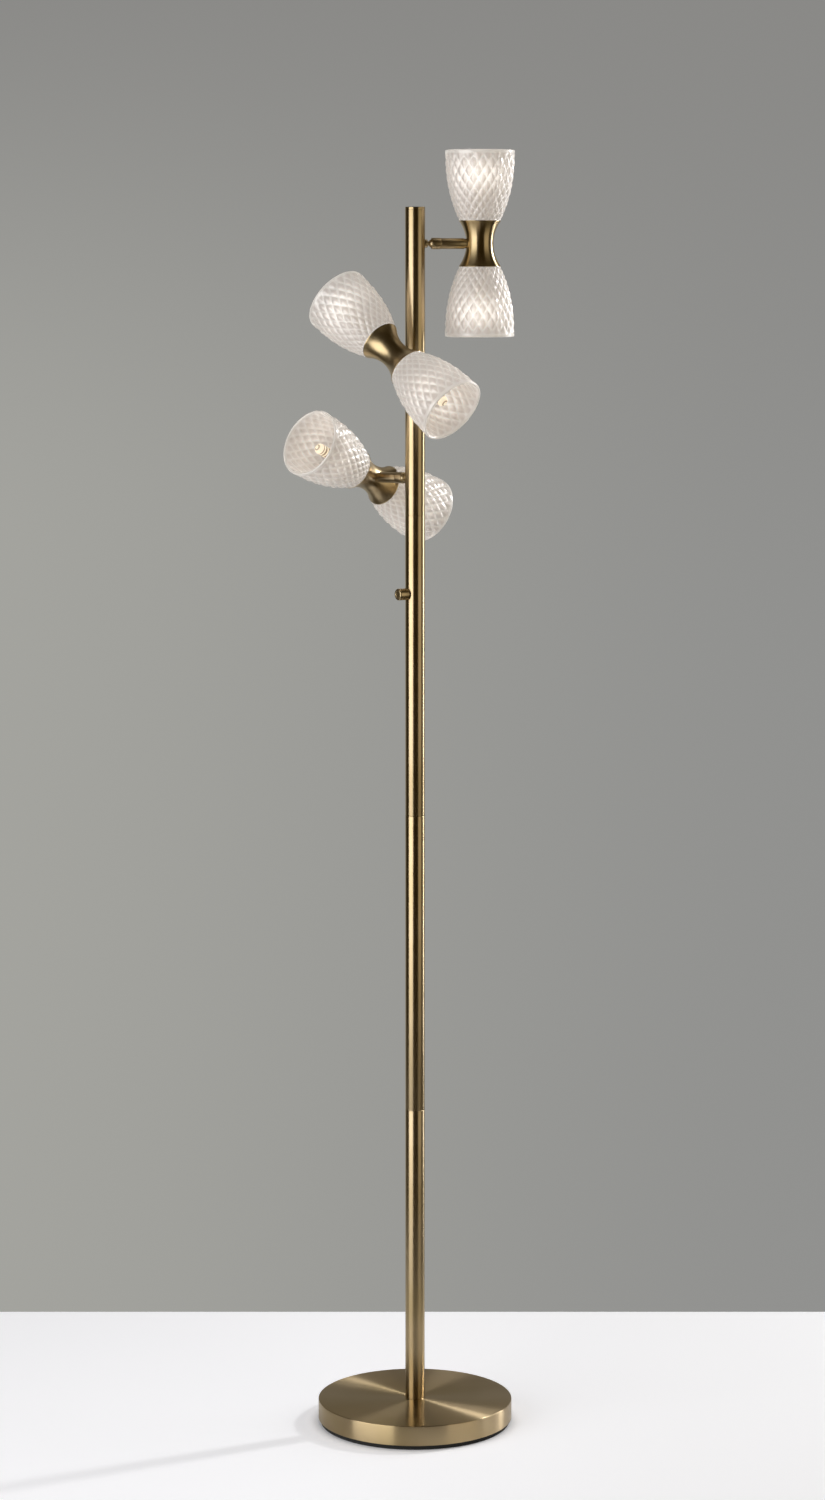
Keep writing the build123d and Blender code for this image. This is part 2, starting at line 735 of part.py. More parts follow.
with BuildPart() as switch_shaft:
    with BuildSketch(end_on(knob_plane, SHAFT_START)):
        Circle(SHAFT_RADIUS)
    extrude(amount=SHAFT_END - SHAFT_START)
finish(switch_shaft, "switch_shaft")

with BuildPart() as switch_knob:
    with BuildSketch(end_on(knob_plane, KNOB_START)):
        Circle(KNOB_RADIUS)
    extrude(amount=KNOB_END - KNOB_START)
    fillet(switch_knob.edges().sort_by(along_x(knob_plane))[-1], KNOB_ROUND)
    with BuildSketch(end_on(knob_plane, KNOB_START)):
        Circle(KNOB_RECESS)
    extrude(amount=KNOB_RECESS_END - KNOB_START, mode=Mode.SUBTRACT)
    with BuildSketch(end_on(knob_plane, KNOB_START)):
        Circle(SHAFT_RADIUS + THREAD_CLEARANCE)
    extrude(amount=SHAFT_END - KNOB_START, mode=Mode.SUBTRACT)
    with BuildSketch(end_on(knob_plane, KNOB_END)):
        Circle(KNOB_DISH)
    extrude(amount=-KNOB_DISH_DEPTH, mode=Mode.SUBTRACT)
finish(switch_knob, "switch_knob")
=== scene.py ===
"""Tree floor lamp with three double-ended swivelling heads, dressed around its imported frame.

Lengths are in metres, in the frame's own axes: +Z up, the pole on the Z axis, the front towards -Y.
"""

import json
import logging
import math
from dataclasses import dataclass
from enum import Enum
from typing import Sequence, Union

import bmesh
import bpy
from mathutils import Matrix, Vector


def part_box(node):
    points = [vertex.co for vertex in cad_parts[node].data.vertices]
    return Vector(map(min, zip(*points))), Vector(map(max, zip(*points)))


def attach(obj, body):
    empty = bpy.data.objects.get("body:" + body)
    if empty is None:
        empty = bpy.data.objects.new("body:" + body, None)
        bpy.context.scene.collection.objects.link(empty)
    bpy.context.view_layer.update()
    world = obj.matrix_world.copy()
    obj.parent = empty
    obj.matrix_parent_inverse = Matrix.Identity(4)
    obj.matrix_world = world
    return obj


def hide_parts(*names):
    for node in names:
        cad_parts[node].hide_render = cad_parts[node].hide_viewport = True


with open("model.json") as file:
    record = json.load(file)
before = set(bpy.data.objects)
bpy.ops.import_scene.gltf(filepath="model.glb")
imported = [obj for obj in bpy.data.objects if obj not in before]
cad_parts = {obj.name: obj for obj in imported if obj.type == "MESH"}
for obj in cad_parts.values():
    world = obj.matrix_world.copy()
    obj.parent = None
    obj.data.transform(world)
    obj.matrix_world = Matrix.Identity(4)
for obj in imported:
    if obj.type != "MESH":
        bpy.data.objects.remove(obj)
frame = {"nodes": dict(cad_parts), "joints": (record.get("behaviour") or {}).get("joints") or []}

log = logging.getLogger("floor_lamp")

MM = 0.001
FULL_TURN = 2.0 * math.pi
WELD = 0.002 * MM
SHARP_EDGE = math.radians(38.0)
HEADS = ("head1", "head2", "head3")
Point = tuple[float, float]
Span = tuple[float, float]
Colour = tuple[float, float, float]
BLACK: Colour = (0.0, 0.0, 0.0)


class Side(Enum):
    """The two ends of a head, by the letter that ends the names of their nodes."""

    UPPER = "a"
    LOWER = "b"


# ------------------------------------------------------------------ shader graph
class Signal:
    """A shader socket whose arithmetic adds Math nodes to its own graph."""

    def __init__(self, graph: "Graph", socket: bpy.types.NodeSocket) -> None:
        """Wrap a socket.

        Args:
            graph: The graph that the socket belongs to.
            socket: The output socket that carries the value.
        """
        self.graph = graph
        self.socket = socket

    def _math(self, operation: str, *values: Union["Signal", float]) -> "Signal":
        """Add one Math node over the given values."""
        return self.graph.node("ShaderNodeMath", {"operation": operation}, *values)

    def __add__(self, other: Union["Signal", float]) -> "Signal":
        """Sum with a signal or a number."""
        return self._math("ADD", self, other)

    __radd__ = __add__

    def __mul__(self, other: Union["Signal", float]) -> "Signal":
        """Product with a signal or a number."""
        return self._math("MULTIPLY", self, other)

    __rmul__ = __mul__

    def __sub__(self, other: Union["Signal", float]) -> "Signal":
        """Difference with a signal or a number."""
        return self._math("SUBTRACT", self, other)

    def __rsub__(self, other: float) -> "Signal":
        """A number less this signal."""
        return self._math("SUBTRACT", other, self)

    def __truediv__(self, other: Union["Signal", float]) -> "Signal":
        """Quotient by a signal or a number."""
        return self._math("DIVIDE", self, other)

    def __pow__(self, power: float) -> "Signal":
        """This signal raised to a power."""
        return self._math("POWER", self, power)

    def clamped(self) -> "Signal":
        """This signal held between 0 and 1."""
        return self.graph.node("ShaderNodeClamp", {}, self)

    def step(self, start: float, end: float) -> "Signal":
        """Smooth step of this signal.

        Args:
            start: Value at which the step is 0.
            end: Value at which the step is 1.

        Returns:
            The stepped signal.
        """
        settings = {"interpolation_type": "SMOOTHSTEP"}
        return self.graph.node("ShaderNodeMapRange", settings, self, start, end)


class Graph:
    """The node tree of one material or of the world, built through one method."""

    def __init__(self, tree: bpy.types.NodeTree) -> None:
        """Empty a node tree and take it over.

        Args:
            tree: The tree to build in.
        """
        self.tree = tree
        self.tree.nodes.clear()

    def node(self, kind: str, settings: dict, *inputs: object, **named: object) -> Signal:
        """Add a node.

        Args:
            kind: The node's type name.
            settings: Properties set before the sockets, such as an operation.
            *inputs: Values or signals for the first sockets, in order; None leaves one alone.
            **named: Values or signals by socket name, with _ for a space.

        Returns:
            The signal of its first output.
        """
        made = self.tree.nodes.new(kind)
        for key, value in settings.items():
            setattr(made, key, value)
        for socket, value in zip(made.inputs, inputs):
            self._feed(socket, value)
        for key, value in named.items():
            self._feed(made.inputs[key.replace("_", " ")], value)
        outputs = [s for s in made.outputs if s.enabled]
        return Signal(self, (outputs or made.inputs)[0])

    def output(self, signal: Signal, name: str) -> Signal:
        """Another output of the node that a signal comes from."""
        return Signal(self, signal.socket.node.outputs[name])

    def finish(self, kind: str, surface: Signal) -> None:
        """Join a shader to the tree's output node of the given kind."""
        self.node(kind, {}, surface)

    def _feed(self, socket: bpy.types.NodeSocket, value: object) -> None:
        """Link a signal into a socket, or set its value.

        Args:
            socket: The input socket.
            value: A signal, a value, or None to leave the socket alone.
        """
        if value is None:
            return
        if isinstance(value, Signal):
            self.tree.links.new(value.socket, socket)
            return
        if isinstance(value, tuple) and socket.type == "RGBA":
            value = (*value, 1.0)
        socket.default_value = value

    def place(self) -> Signal:
        """Object coordinates, which are the frame's own for every piece."""
        return self.output(self.node("ShaderNodeTexCoord", {}), "Object")

    def attribute(self, name: str, output: str = "Fac") -> Signal:
        """An attribute of the mesh, as a number or as its Vector output."""
        return self.output(self.node("ShaderNodeAttribute", {"attribute_name": name}), output)

    def principled(self, **named: object) -> Signal:
        """One Principled shader with the given sockets."""
        return self.node("ShaderNodeBsdfPrincipled", {}, **named)

    def is_camera_ray(self) -> Signal:
        """One where the camera itself looks, and zero for every other ray."""
        return self.output(self.node("ShaderNodeLightPath", {}), "Is Camera Ray")

    def split(self, vector: Signal) -> tuple[Signal, Signal, Signal]:
        """The three components of a vector."""
        parts = self.node("ShaderNodeSeparateXYZ", {}, vector)
        return parts, self.output(parts, "Y"), self.output(parts, "Z")

    def vector(self, operation: str, *values: Signal) -> Signal:
        """One Vector Math node over the given vectors."""
        return self.node("ShaderNodeVectorMath", {"operation": operation}, *values)

    def scaled(self, vector: Signal, size: Signal) -> Signal:
        """A vector made longer or shorter by a signal."""
        return self.node("ShaderNodeVectorMath", {"operation": "SCALE"}, vector, Scale=size)

    def noise(self, vector: Signal, scale: float, detail: float = 3.0) -> Signal:
        """Noise between 0 and 1 at a scale per metre."""
        return self.node("ShaderNodeTexNoise", {}, vector, Scale=scale, Detail=detail)

    def blend(self, share: Signal, low: Union[Colour, Signal], high: Union[Colour, Signal]) -> Signal:
        """Colour between two, by a share.

        Args:
            share: Where the colour lies, 0 at low and 1 at high.
            low: Colour or signal at 0.
            high: Colour or signal at 1.

        Returns:
            The mixed colour.
        """
        mixed = self.node("ShaderNodeMix", {"data_type": "RGBA"})
        node = mixed.socket.node
        self._feed(node.inputs["Factor"], share)
        colours = [s for s in node.inputs if s.type == "RGBA"]
        self._feed(colours[0], low)
        self._feed(colours[1], high)
        return Signal(self, [s for s in node.outputs if s.type == "RGBA"][0])

    def bump(self, height: Signal, distance: float, strength: float = 1.0) -> Signal:
        """Normal raised by a height signal over a distance in metres."""
        return self.node("ShaderNodeBump", {}, Strength=strength, Distance=distance, Height=height)


# ------------------------------------------------------------------ finishes
@dataclass(frozen=True)
class Finish:
    """One surface finish: its own material, made once and shared."""

    name: str
    slot: str

    def material(self) -> bpy.types.Material:
        """Make the finish's material the first time it is asked for.

        Returns:
            The shared material.
        """
        found = bpy.data.materials.get(self.name)
        if found is not None:
            return found
        made = bpy.data.materials.new(self.name)
        made.use_nodes = True
        made.cycles.emission_sampling = "NONE"
        graph = Graph(made.node_tree)
        graph.finish("ShaderNodeOutputMaterial", self.surface(graph))
        return made

    def surface(self, graph: Graph) -> Signal:
        """The finish's shader. Every finish gives its own."""
        raise NotImplementedError


@dataclass(frozen=True)
class AntiqueBrass(Finish):
    """Lacquered antique brass, brushed round its lathe axis, with faint patina clouds."""

    bright: Colour = (0.64, 0.50, 0.31)
    aged: Colour = (0.53, 0.405, 0.215)
    roughness: float = 0.25
    anisotropy: float = 0.0
    spread: float = 0.0
    cloud_scale: float = 9.0
    cloud_detail: float = 2.0
    line_scale: float = 3600.0
    line_share: float = 0.15
    tone_step: Span = (0.3, 0.7)
    unevenness: float = 0.04
    lacquer: float = 0.15
    lacquer_roughness: float = 0.2

    def surface(self, graph: Graph) -> Signal:
        """Metal with clouded colour, uneven polish and brushed lines round the axis.

        Args:
            graph: The graph to build in.

        Returns:
            The shader.
        """
        clouds = graph.noise(graph.place(), self.cloud_scale, self.cloud_detail)
        lines = graph.noise(graph.attribute("lathe", "Vector"), self.line_scale, self.cloud_detail)
        tone = clouds * (1.0 - self.line_share) + lines * self.line_share
        tone = tone.step(*self.tone_step)
        return graph.principled(
            Base_Color=graph.blend(tone, self.aged, self.bright),
            Metallic=1.0,
            Roughness=((clouds - 0.5) * self.unevenness + self.roughness).clamped(),
            Anisotropic=self.anisotropy,
            Anisotropic_Rotation=0.25,
            Coat_Weight=self.lacquer,
            Coat_Roughness=self.lacquer_roughness,
            Normal=self._brushed(graph, lines) if self.spread > 0.0 else None,
        )

    def _brushed(self, graph: Graph, lines: Signal) -> Signal:
        """Normal tipped across the brushed lines, which run round the piece's own axis.

        Args:
            graph: The graph to build in.
            lines: Noise that is the same all the way round the axis.

        Returns:
            The tipped normal.
        """
        settings = {"vector_type": "VECTOR", "convert_from": "OBJECT", "convert_to": "WORLD"}
        turn = graph.attribute("turn", "Vector")
        round_way = graph.node("ShaderNodeVectorTransform", settings, turn)
        normal = graph.output(graph.node("ShaderNodeNewGeometry", {}), "Normal")
        across = graph.vector("CROSS_PRODUCT", round_way, normal)
        tip = graph.scaled(across, (lines - 0.5) * self.spread)
        return graph.vector("NORMALIZE", graph.vector("ADD", normal, tip))


@dataclass(frozen=True)
class PressedGlass(Finish):
    """Frosted pressed glass, milky, with painted light in the valleys between its pillows, painted shade
    on their crests, and a painted glow of the bulb's light.
    """

    # The valley and crest colours: painted light in the lattice's valleys, painted shade on the pillows'
    # crests
    valley_painted_light: Colour = (0.985, 0.948, 0.915)
    crest: Colour = (0.79, 0.725, 0.685)
    glow: Colour = (1.0, 0.96, 0.89)
    roughness: float = 0.42
    transmission: float = 0.5
    body_light: float = 0.2
    spot_light: float = 1.5
    edge_light: float = 1.2
    glow_strength: float = 0.3
    spot_focus: float = 9.0
    edge_focus: float = 3.0
    valley_gain: float = 1.1
    crest_shade: float = 0.3
    crest_full: float = 0.75
    crest_share: float = 0.85
    cloud_share: float = 0.2
    cloud_scale: float = 60.0
    frost_scale: float = 1900.0
    frost_unevenness: float = 0.12
    frost_depth: float = 0.02 * MM
    frost_strength: float = 0.4
    index: float = 1.47
    sheen_roughness: float = 0.08
    sheen_index: float = 1.7

    def surface(self, graph: Graph) -> Signal:
        """Rough transmission over a milky body, with the bulb's light painted into the glass as a glow.

        Args:
            graph: The graph to build in.

        Returns:
            The shader.
        """
        place = graph.place()
        clouds = graph.noise(place, self.cloud_scale, 3.0)
        frost = graph.noise(place, self.frost_scale, 2.0)
        lit = graph.attribute("glow")
        crest = graph.attribute("crest")
        facing = graph.output(graph.node("ShaderNodeLayerWeight", {}, 0.5), "Facing")
        # Painted glow: a spot near the bulb where the glass faces the viewer, weaker on the crests,
        # painted highlights on edges seen edge-on, and an even painted glow
        spot = (1.0 - facing) ** self.spot_focus * lit * (self.valley_gain - crest * self.crest_shade)
        light = spot * self.spot_light + facing**self.edge_focus * self.edge_light + self.body_light
        # Painted light and shade of the relief: lighter in the valleys, darker on the crests, with
        # random clouds
        tone = crest.step(0.0, self.crest_full) * self.crest_share + clouds * self.cloud_share
        return graph.principled(
            Base_Color=graph.blend(tone.clamped(), self.valley_painted_light, self.crest),
            Roughness=(self.roughness + (frost - 0.5) * self.frost_unevenness).clamped(),
            IOR=self.index,
            Transmission_Weight=self.transmission,
            Coat_Weight=1.0,
            Coat_Roughness=self.sheen_roughness,
            Coat_IOR=self.sheen_index,
            Emission_Color=graph.blend((light / 2.0).clamped(), BLACK, self.glow),
            Emission_Strength=self.glow_strength * 2.0,
            Normal=graph.bump(frost, self.frost_depth, self.frost_strength),
        )


@dataclass(frozen=True)
class LitBulb(Finish):
    """Ribbed capsule bulb, lit warm, with painted shade as darker lines in the hollows of its ribs."""

    bright: Colour = (1.0, 0.88, 0.66)
    hollow_shade: Colour = (0.16, 0.085, 0.03)
    strength: float = 0.7
    glass_hollow_shade: Colour = (0.13, 0.08, 0.04)
    glass_bright: Colour = (0.5, 0.43, 0.32)
    roughness: float = 0.2

    def surface(self, graph: Graph) -> Signal:
        """Glass that shines, with painted shade where the ribs are drawn in.

        Args:
            graph: The graph to build in.

        Returns:
            The shader.
        """
        # Painted shade: darker colour and dimmer glow where the rib mark is low, in the rib hollows and
        # on a ring round the tip
        rib = graph.attribute("rib")
        return graph.principled(
            Base_Color=graph.blend(rib, self.glass_hollow_shade, self.glass_bright),
            Roughness=self.roughness,
            Emission_Color=graph.blend(rib, self.hollow_shade, self.bright),
            Emission_Strength=self.strength,
        )


@dataclass(frozen=True)
class Grainy(Finish):
    """Plain matter with mottled colour and a fine skin: foam, plastic, ceramic, iron or zinc."""

    dark: Colour = (0.02, 0.02, 0.02)
    light: Colour = (0.04, 0.04, 0.04)
    roughness: float = 0.5
    metallic: float = 0.0
    coat: float = 0.0
    mottle_scale: float = 90.0
    mottle_detail: float = 4.0
    mottle_step: Span = (0.3, 0.7)
    skin_scale: float = 1200.0
    skin_unevenness: float = 0.2
    skin_depth: float = 0.05 * MM
    skin_strength: float = 0.6

    def surface(self, graph: Graph) -> Signal:
        """Two tones in clouds over a fine bumpy skin.

        Args:
            graph: The graph to build in.

        Returns:
            The shader.
        """
        place = graph.place()
        mottle = graph.noise(place, self.mottle_scale, self.mottle_detail)
        skin = graph.noise(place, self.skin_scale)
        return graph.principled(
            Base_Color=graph.blend(mottle.step(*self.mottle_step), self.dark, self.light),
            Roughness=(self.roughness + (skin - 0.5) * self.skin_unevenness).clamped(),
            Metallic=self.metallic,
            Coat_Weight=self.coat,
            Normal=graph.bump(skin, self.skin_depth, self.skin_strength),
        )


POLE_BRASS = AntiqueBrass(
    "pole_brass", "antique_brass", roughness=0.3, anisotropy=0.83, line_share=0.0
)
FACED_BRASS = AntiqueBrass("base_brass", "antique_brass", roughness=0.31, anisotropy=1.0)
UPRIGHT_BRASS = AntiqueBrass("upright_brass", "antique_brass", roughness=0.3, anisotropy=0.9)
SATIN_BRASS = AntiqueBrass("head_brass", "antique_brass", roughness=0.33, spread=0.25)
GLASS = PressedGlass("pressed_glass", "frosted_glass")
BULB = LitBulb("lit_bulb", "bulb_glass")
FOAM = Grainy("black_foam", "black_foam", (0.008, 0.008, 0.008), (0.02, 0.02, 0.02), 0.85)
BLACK_PLASTIC = Grainy("black_plastic", "black_plastic", (0.012, 0.012, 0.012), (0.03, 0.03, 0.03))
CERAMIC = Grainy("white_ceramic", "white_ceramic", (0.78, 0.76, 0.71), (0.86, 0.85, 0.81), 0.3, coat=0.4)
IRON = Grainy("cast_iron", "iron", (0.05, 0.048, 0.045), (0.12, 0.11, 0.10), 0.6, metallic=0.8)
ZINC = Grainy("zinc_steel", "zinc_steel", (0.42, 0.42, 0.41), (0.6, 0.6, 0.58), 0.35, metallic=1.0)

CAD_FINISHES = {
    "base_weight": IRON,
    "base_rod": ZINC,
    "base_washer": ZINC,
    "base_nut": ZINC,
    "pole_couplers": ZINC,
    "pole_foot_insert": ZINC,
    "stud_nuts": ZINC,
    "switch_body": BLACK_PLASTIC,
    "switch_nut": ZINC,
    "switch_shaft": ZINC,
    "seat": BLACK_PLASTIC,
    "arm_nut": ZINC,
    "end_discs": ZINC,
    "ring_nuts": SATIN_BRASS,
}


# ------------------------------------------------------------------ outlines and turning
def arc_between(start: Point, middle: Point, end: Point, steps: int) -> list[Point]:
    """Points of a circular arc, without its start.

    Args:
        start: First point.
        middle: A point that the arc passes through.
        end: Last point.
        steps: Number of pieces that the arc is cut into.

    Returns:
        The points after the start, the end among them.
    """
    (ax, ay), (bx, by), (cx, cy) = start, middle, end
    turn = 2.0 * (ax * (by - cy) + bx * (cy - ay) + cx * (ay - by))
    sa, sb, sc = ax * ax + ay * ay, bx * bx + by * by, cx * cx + cy * cy
    ox = (sa * (by - cy) + sb * (cy - ay) + sc * (ay - by)) / turn
    oy = (sa * (cx - bx) + sb * (ax - cx) + sc * (bx - ax)) / turn
    size = math.hypot(ax - ox, ay - oy)
    first = math.atan2(ay - oy, ax - ox)
    swing = (math.atan2(cy - oy, cx - ox) - first) % FULL_TURN
    halfway = (math.atan2(by - oy, bx - ox) - first) % FULL_TURN
    if halfway > swing:
        swing -= FULL_TURN
    angles = [first + swing * step / steps for step in range(1, steps + 1)]
    return [(ox + size * math.cos(a), oy + size * math.sin(a)) for a in angles]


class Outline:
    """A lathe outline of (radius, height) points, with rounded corners and arcs."""

    def __init__(self, radius: float, height: float, rounding: float = 0.0) -> None:
        """Start the outline at a point, which is rounded only where the outline closes."""
        self.corners: list[tuple[Point, float]] = [((radius, height), rounding)]

    def to(self, radius: float, height: float, rounding: float = 0.0) -> "Outline":
        """Run straight to a corner, which may be rounded."""
        self.corners.append(((radius, height), rounding))
        return self

    def arc(self, middle: Point, end: Point, steps: int = 24) -> "Outline":
        """Run on a circular arc.

        Args:
            middle: A point that the arc passes through.
            end: Its last point.
            steps: Number of pieces that the arc is cut into.

        Returns:
            The outline.
        """
        start = self.corners[-1][0]
        self.corners += [(p, 0.0) for p in arc_between(start, middle, end, steps)]
        return self

    def points(self, closed: bool, steps: int = 4) -> list[Point]:
        """The outline's points with its corners rounded.

        Args:
            closed: Whether the last point runs back to the first.
            steps: Pieces of each rounded corner.

        Returns:
            The points in order.
        """
        found: list[Point] = []
        count = len(self.corners)
        for index, (corner, rounding) in enumerate(self.corners):
            at_end = index in (0, count - 1) and not closed
            if rounding <= 0.0 or at_end:
                found.append(corner)
                continue
            here = Vector(corner)
            before = Vector(self.corners[index - 1][0]) - here
            after = Vector(self.corners[(index + 1) % count][0]) - here
            angle = before.angle(after)
            reach = rounding / math.tan(angle / 2.0)
            start = here + before.normalized() * reach
            end = here + after.normalized() * reach
            inward = (before.normalized() + after.normalized()).normalized()
            centre = here + inward * (rounding / math.sin(angle / 2.0))
            middle = centre - inward * rounding
            found.append((start.x, start.y))
            found += arc_between(tuple(start), tuple(middle), tuple(end), steps)
        return found


def turned(points: Sequence[Point], closed: bool, segments: int) -> bmesh.types.BMesh:
    """Turn an outline about the local Z axis.

    Args:
        points: The outline, (radius, height).
        closed: Whether it is a ring section, and otherwise ends on the axis or open.
        segments: Steps round the full turn.

    Returns:
        The turned shell, welded, with its faces outwards.
    """
    bm = bmesh.new()
    verts = [bm.verts.new((radius, 0.0, height)) for radius, height in points]
    edges = [bm.edges.new(pair) for pair in zip(verts, verts[1:])]
    if closed:
        edges.append(bm.edges.new((verts[-1], verts[0])))
    spin_shut(bm, verts + edges, segments)
    return bm


def spin_shut(bm: bmesh.types.BMesh, geom: list, segments: int) -> None:
    """Spin geometry a full turn about Z, weld it and turn its faces outwards.

    Args:
        bm: The mesh that holds the geometry.
        geom: The section's vertices and edges.
        segments: Steps round the full turn.
    """
    bmesh.ops.spin(
        bm,
        geom=geom,
        cent=(0.0, 0.0, 0.0),
        axis=(0.0, 0.0, 1.0),
        angle=FULL_TURN,
        steps=segments,
        use_merge=True,
    )
    bmesh.ops.remove_doubles(bm, verts=bm.verts, dist=WELD)
    bmesh.ops.dissolve_degenerate(bm, edges=bm.edges, dist=WELD)
    bmesh.ops.recalc_face_normals(bm, faces=bm.faces)


def to_mesh(bm: bmesh.types.BMesh, name: str) -> bpy.types.Mesh:
    """Write a bmesh to a new mesh and free it.

    Args:
        bm: The shape.
        name: The mesh's name.

    Returns:
        The mesh.
    """
    mesh = bpy.data.meshes.new(name)
    bm.to_mesh(mesh)
    bm.free()
    return mesh


def linked(name: str, data: bpy.types.ID) -> bpy.types.Object:
    """Make an object of a mesh, light or camera and link it to the scene.

    Args:
        name: The object's name.
        data: What it holds.

    Returns:
        The object.
    """
    made = bpy.data.objects.new(name, data)
    bpy.context.scene.collection.objects.link(made)
    return made


def soften(bm: bmesh.types.BMesh, sharp: float = SHARP_EDGE) -> None:
    """Shade every face smooth and keep the edges past an angle sharp.

    Args:
        bm: The mesh.
        sharp: Angle between two faces from which their edge stays sharp.
    """
    for face in bm.faces:
        face.smooth = True
    for edge in bm.edges:
        edge.smooth = len(edge.link_faces) == 2 and edge.calc_face_angle(0.0) < sharp


@dataclass(frozen=True)
class Seat:
    """What a finished piece needs besides its mesh: its name, body, finish and stand-ins."""

    name: str
    body: str
    finish: Finish
    replaces: tuple[str, ...] = ()


def place_piece(mesh: bpy.types.Mesh, seat: Seat) -> bpy.types.Object:
    """Make the object of a finished mesh, dress it and let it ride on its body.

    Args:
        mesh: The mesh, already in the frame's axes.
        seat: The piece's name, body, finish and the nodes that it stands for.

    Returns:
        The object.
    """
    piece = linked(seat.name, mesh)
    mesh.materials.clear()
    mesh.materials.append(seat.finish.material())
    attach(piece, seat.body)
    if seat.replaces:
        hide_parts(*seat.replaces)
    log.info("%s on %s, %d faces", seat.name, seat.body, len(mesh.polygons))
    return piece


def mark_turning(bm: bmesh.types.BMesh, place: Matrix) -> None:
    """Store each vertex's place on the lathe and its way round the axis, for brushed metal.

    Args:
        bm: The turned shape in its own axes.
        place: Where its own axes stand in the frame.
    """
    lathe = bm.verts.layers.float_vector.new("lathe")
    turn = bm.verts.layers.float_vector.new("turn")
    way = place.to_3x3()
    for vert in bm.verts:
        vert[lathe] = (math.hypot(vert.co.x, vert.co.y), 0.0, vert.co.z)
        vert[turn] = way @ Vector((-vert.co.y, vert.co.x, 0.0)).normalized()


def settle(bm: bmesh.types.BMesh, place: Matrix, seat: Seat) -> bpy.types.Object:
    """Write a bmesh to a piece at its place.

    Args:
        bm: The shape in its own axes; it is freed.
        place: Where the shape's own axes stand in the frame.
        seat: The piece's name, body, finish and the nodes that it stands for.

    Returns:
        The object, at the origin, with its place in its mesh.
    """
    soften(bm)
    mark_turning(bm, place)
    bmesh.ops.transform(bm, matrix=place, verts=bm.verts)
    return place_piece(to_mesh(bm, seat.name), seat)


def turn_piece(
    outline: Outline, place: Matrix, seat: Seat, closed: bool = False, segments: int = 96
) -> bpy.types.Object:
    """Turn an outline into a piece at its place."""
    return settle(turned(outline.points(closed), closed, segments), place, seat)


def axes_at(origin: Vector, side: Vector, up: Vector) -> Matrix:
    """Matrix of a frame that stands at an origin.

    Args:
        origin: Where the frame stands.
        side: Unit vector of its X axis.
        up: Unit vector of its Z axis, square to side.

    Returns:
        The matrix.
    """
    cross = up.cross(side)
    rows = Matrix((side, cross, up)).transposed().to_4x4()
    rows.translation = origin
    return rows


# ------------------------------------------------------------------ base
@dataclass
class Base:
    """Round weighted foot: turned brass cover over a black pad, with the cord's inlet bushing."""

    radius: float = 127.0 * MM
    top: float = 32.0 * MM
    pad_radius: float = 124.0 * MM
    pad_height: float = 5.0 * MM
    skirt: float = 6.0 * MM
    wall: float = 1.5 * MM
    edge: float = 1.0 * MM
    bore: float = 5.1 * MM
    ring_start: float = 0.2 * MM
    ring_slope: float = 0.7 * MM
    ring_radius: float = 16.4 * MM
    ring_rise: float = 0.8 * MM
    ring_depth: float = 0.45 * MM
    pole_radius: float = 12.7 * MM
    bushing_height: float = 14.0 * MM
    bushing_bore: float = 3.2 * MM
    bushing_flange: float = 6.5 * MM
    bushing_front: float = 2.0 * MM
    bushing_neck: float = 4.9 * MM
    bushing_lip: float = 5.9 * MM
    bushing_lip_start: float = -1.7 * MM
    bushing_end: float = -4.0 * MM

    def build(self) -> None:
        """Make the cover, the pad and the bushing."""
        self._cover()
        self._pad()
        self._bushing()

    def _cover(self) -> None:
        """Turned cover with a rounded edge and a shallow turned ring at the pole's foot."""
        inside = self.top - self.wall
        ring_floor = self.top - self.ring_depth
        ring_start = self.pole_radius + self.ring_start
        outline = Outline(self.bore, self.top)
        outline.to(ring_start, self.top)
        outline.to(ring_start + self.ring_slope, ring_floor, 0.2 * MM)
        outline.to(self.ring_radius - self.ring_rise, ring_floor, 0.3 * MM)
        outline.to(self.ring_radius, self.top, 0.2 * MM)
        outline.to(self.radius * 0.5, self.top)
        outline.to(self.radius, self.top, self.edge)
        outline.to(self.radius, self.skirt, 0.3 * MM)
        outline.to(self.radius - self.wall, self.skirt, 0.3 * MM)
        outline.to(self.radius - self.wall, inside, 1.0 * MM)
        outline.to(self.bore, inside)
        seat = Seat("foot_cover", "stand", FACED_BRASS, ("base_cover",))
        turn_piece(outline, Matrix.Identity(4), seat, closed=True, segments=192)

    def _pad(self) -> None:
        """Black foam disc with soft edges."""
        outline = Outline(0.0, 0.0)
        outline.to(self.pad_radius, 0.0, 0.8 * MM)
        outline.to(self.pad_radius, self.pad_height, 0.4 * MM)
        outline.to(0.0, self.pad_height)
        seat = Seat("foot_pad", "stand", FOAM, ("base_pad",))
        turn_piece(outline, Matrix.Identity(4), seat, segments=160)

    def _bushing(self) -> None:
        """Plastic inlet bushing: rounded flange outside the skirt, snap lip inside it."""
        outline = Outline(self.bushing_bore, self.bushing_end)
        outline.to(self.bushing_bore, self.bushing_front, 0.6 * MM)
        outline.to(self.bushing_flange, self.bushing_front, 0.9 * MM)
        outline.to(self.bushing_flange, 0.0)
        outline.to(self.bushing_neck, 0.0)
        outline.to(self.bushing_neck, self.bushing_lip_start)
        outline.to(self.bushing_lip, self.bushing_lip_start, 0.2 * MM)
        outline.to(self.bushing_neck, self.bushing_end)
        rear = Vector((0.0, self.radius, self.bushing_height))
        place = axes_at(rear, Vector((1.0, 0.0, 0.0)), Vector((0.0, 1.0, 0.0)))
        seat = Seat("inlet_bushing", "stand", BLACK_PLASTIC, ("cord_bushing",))
        turn_piece(outline, place, seat, closed=True, segments=48)


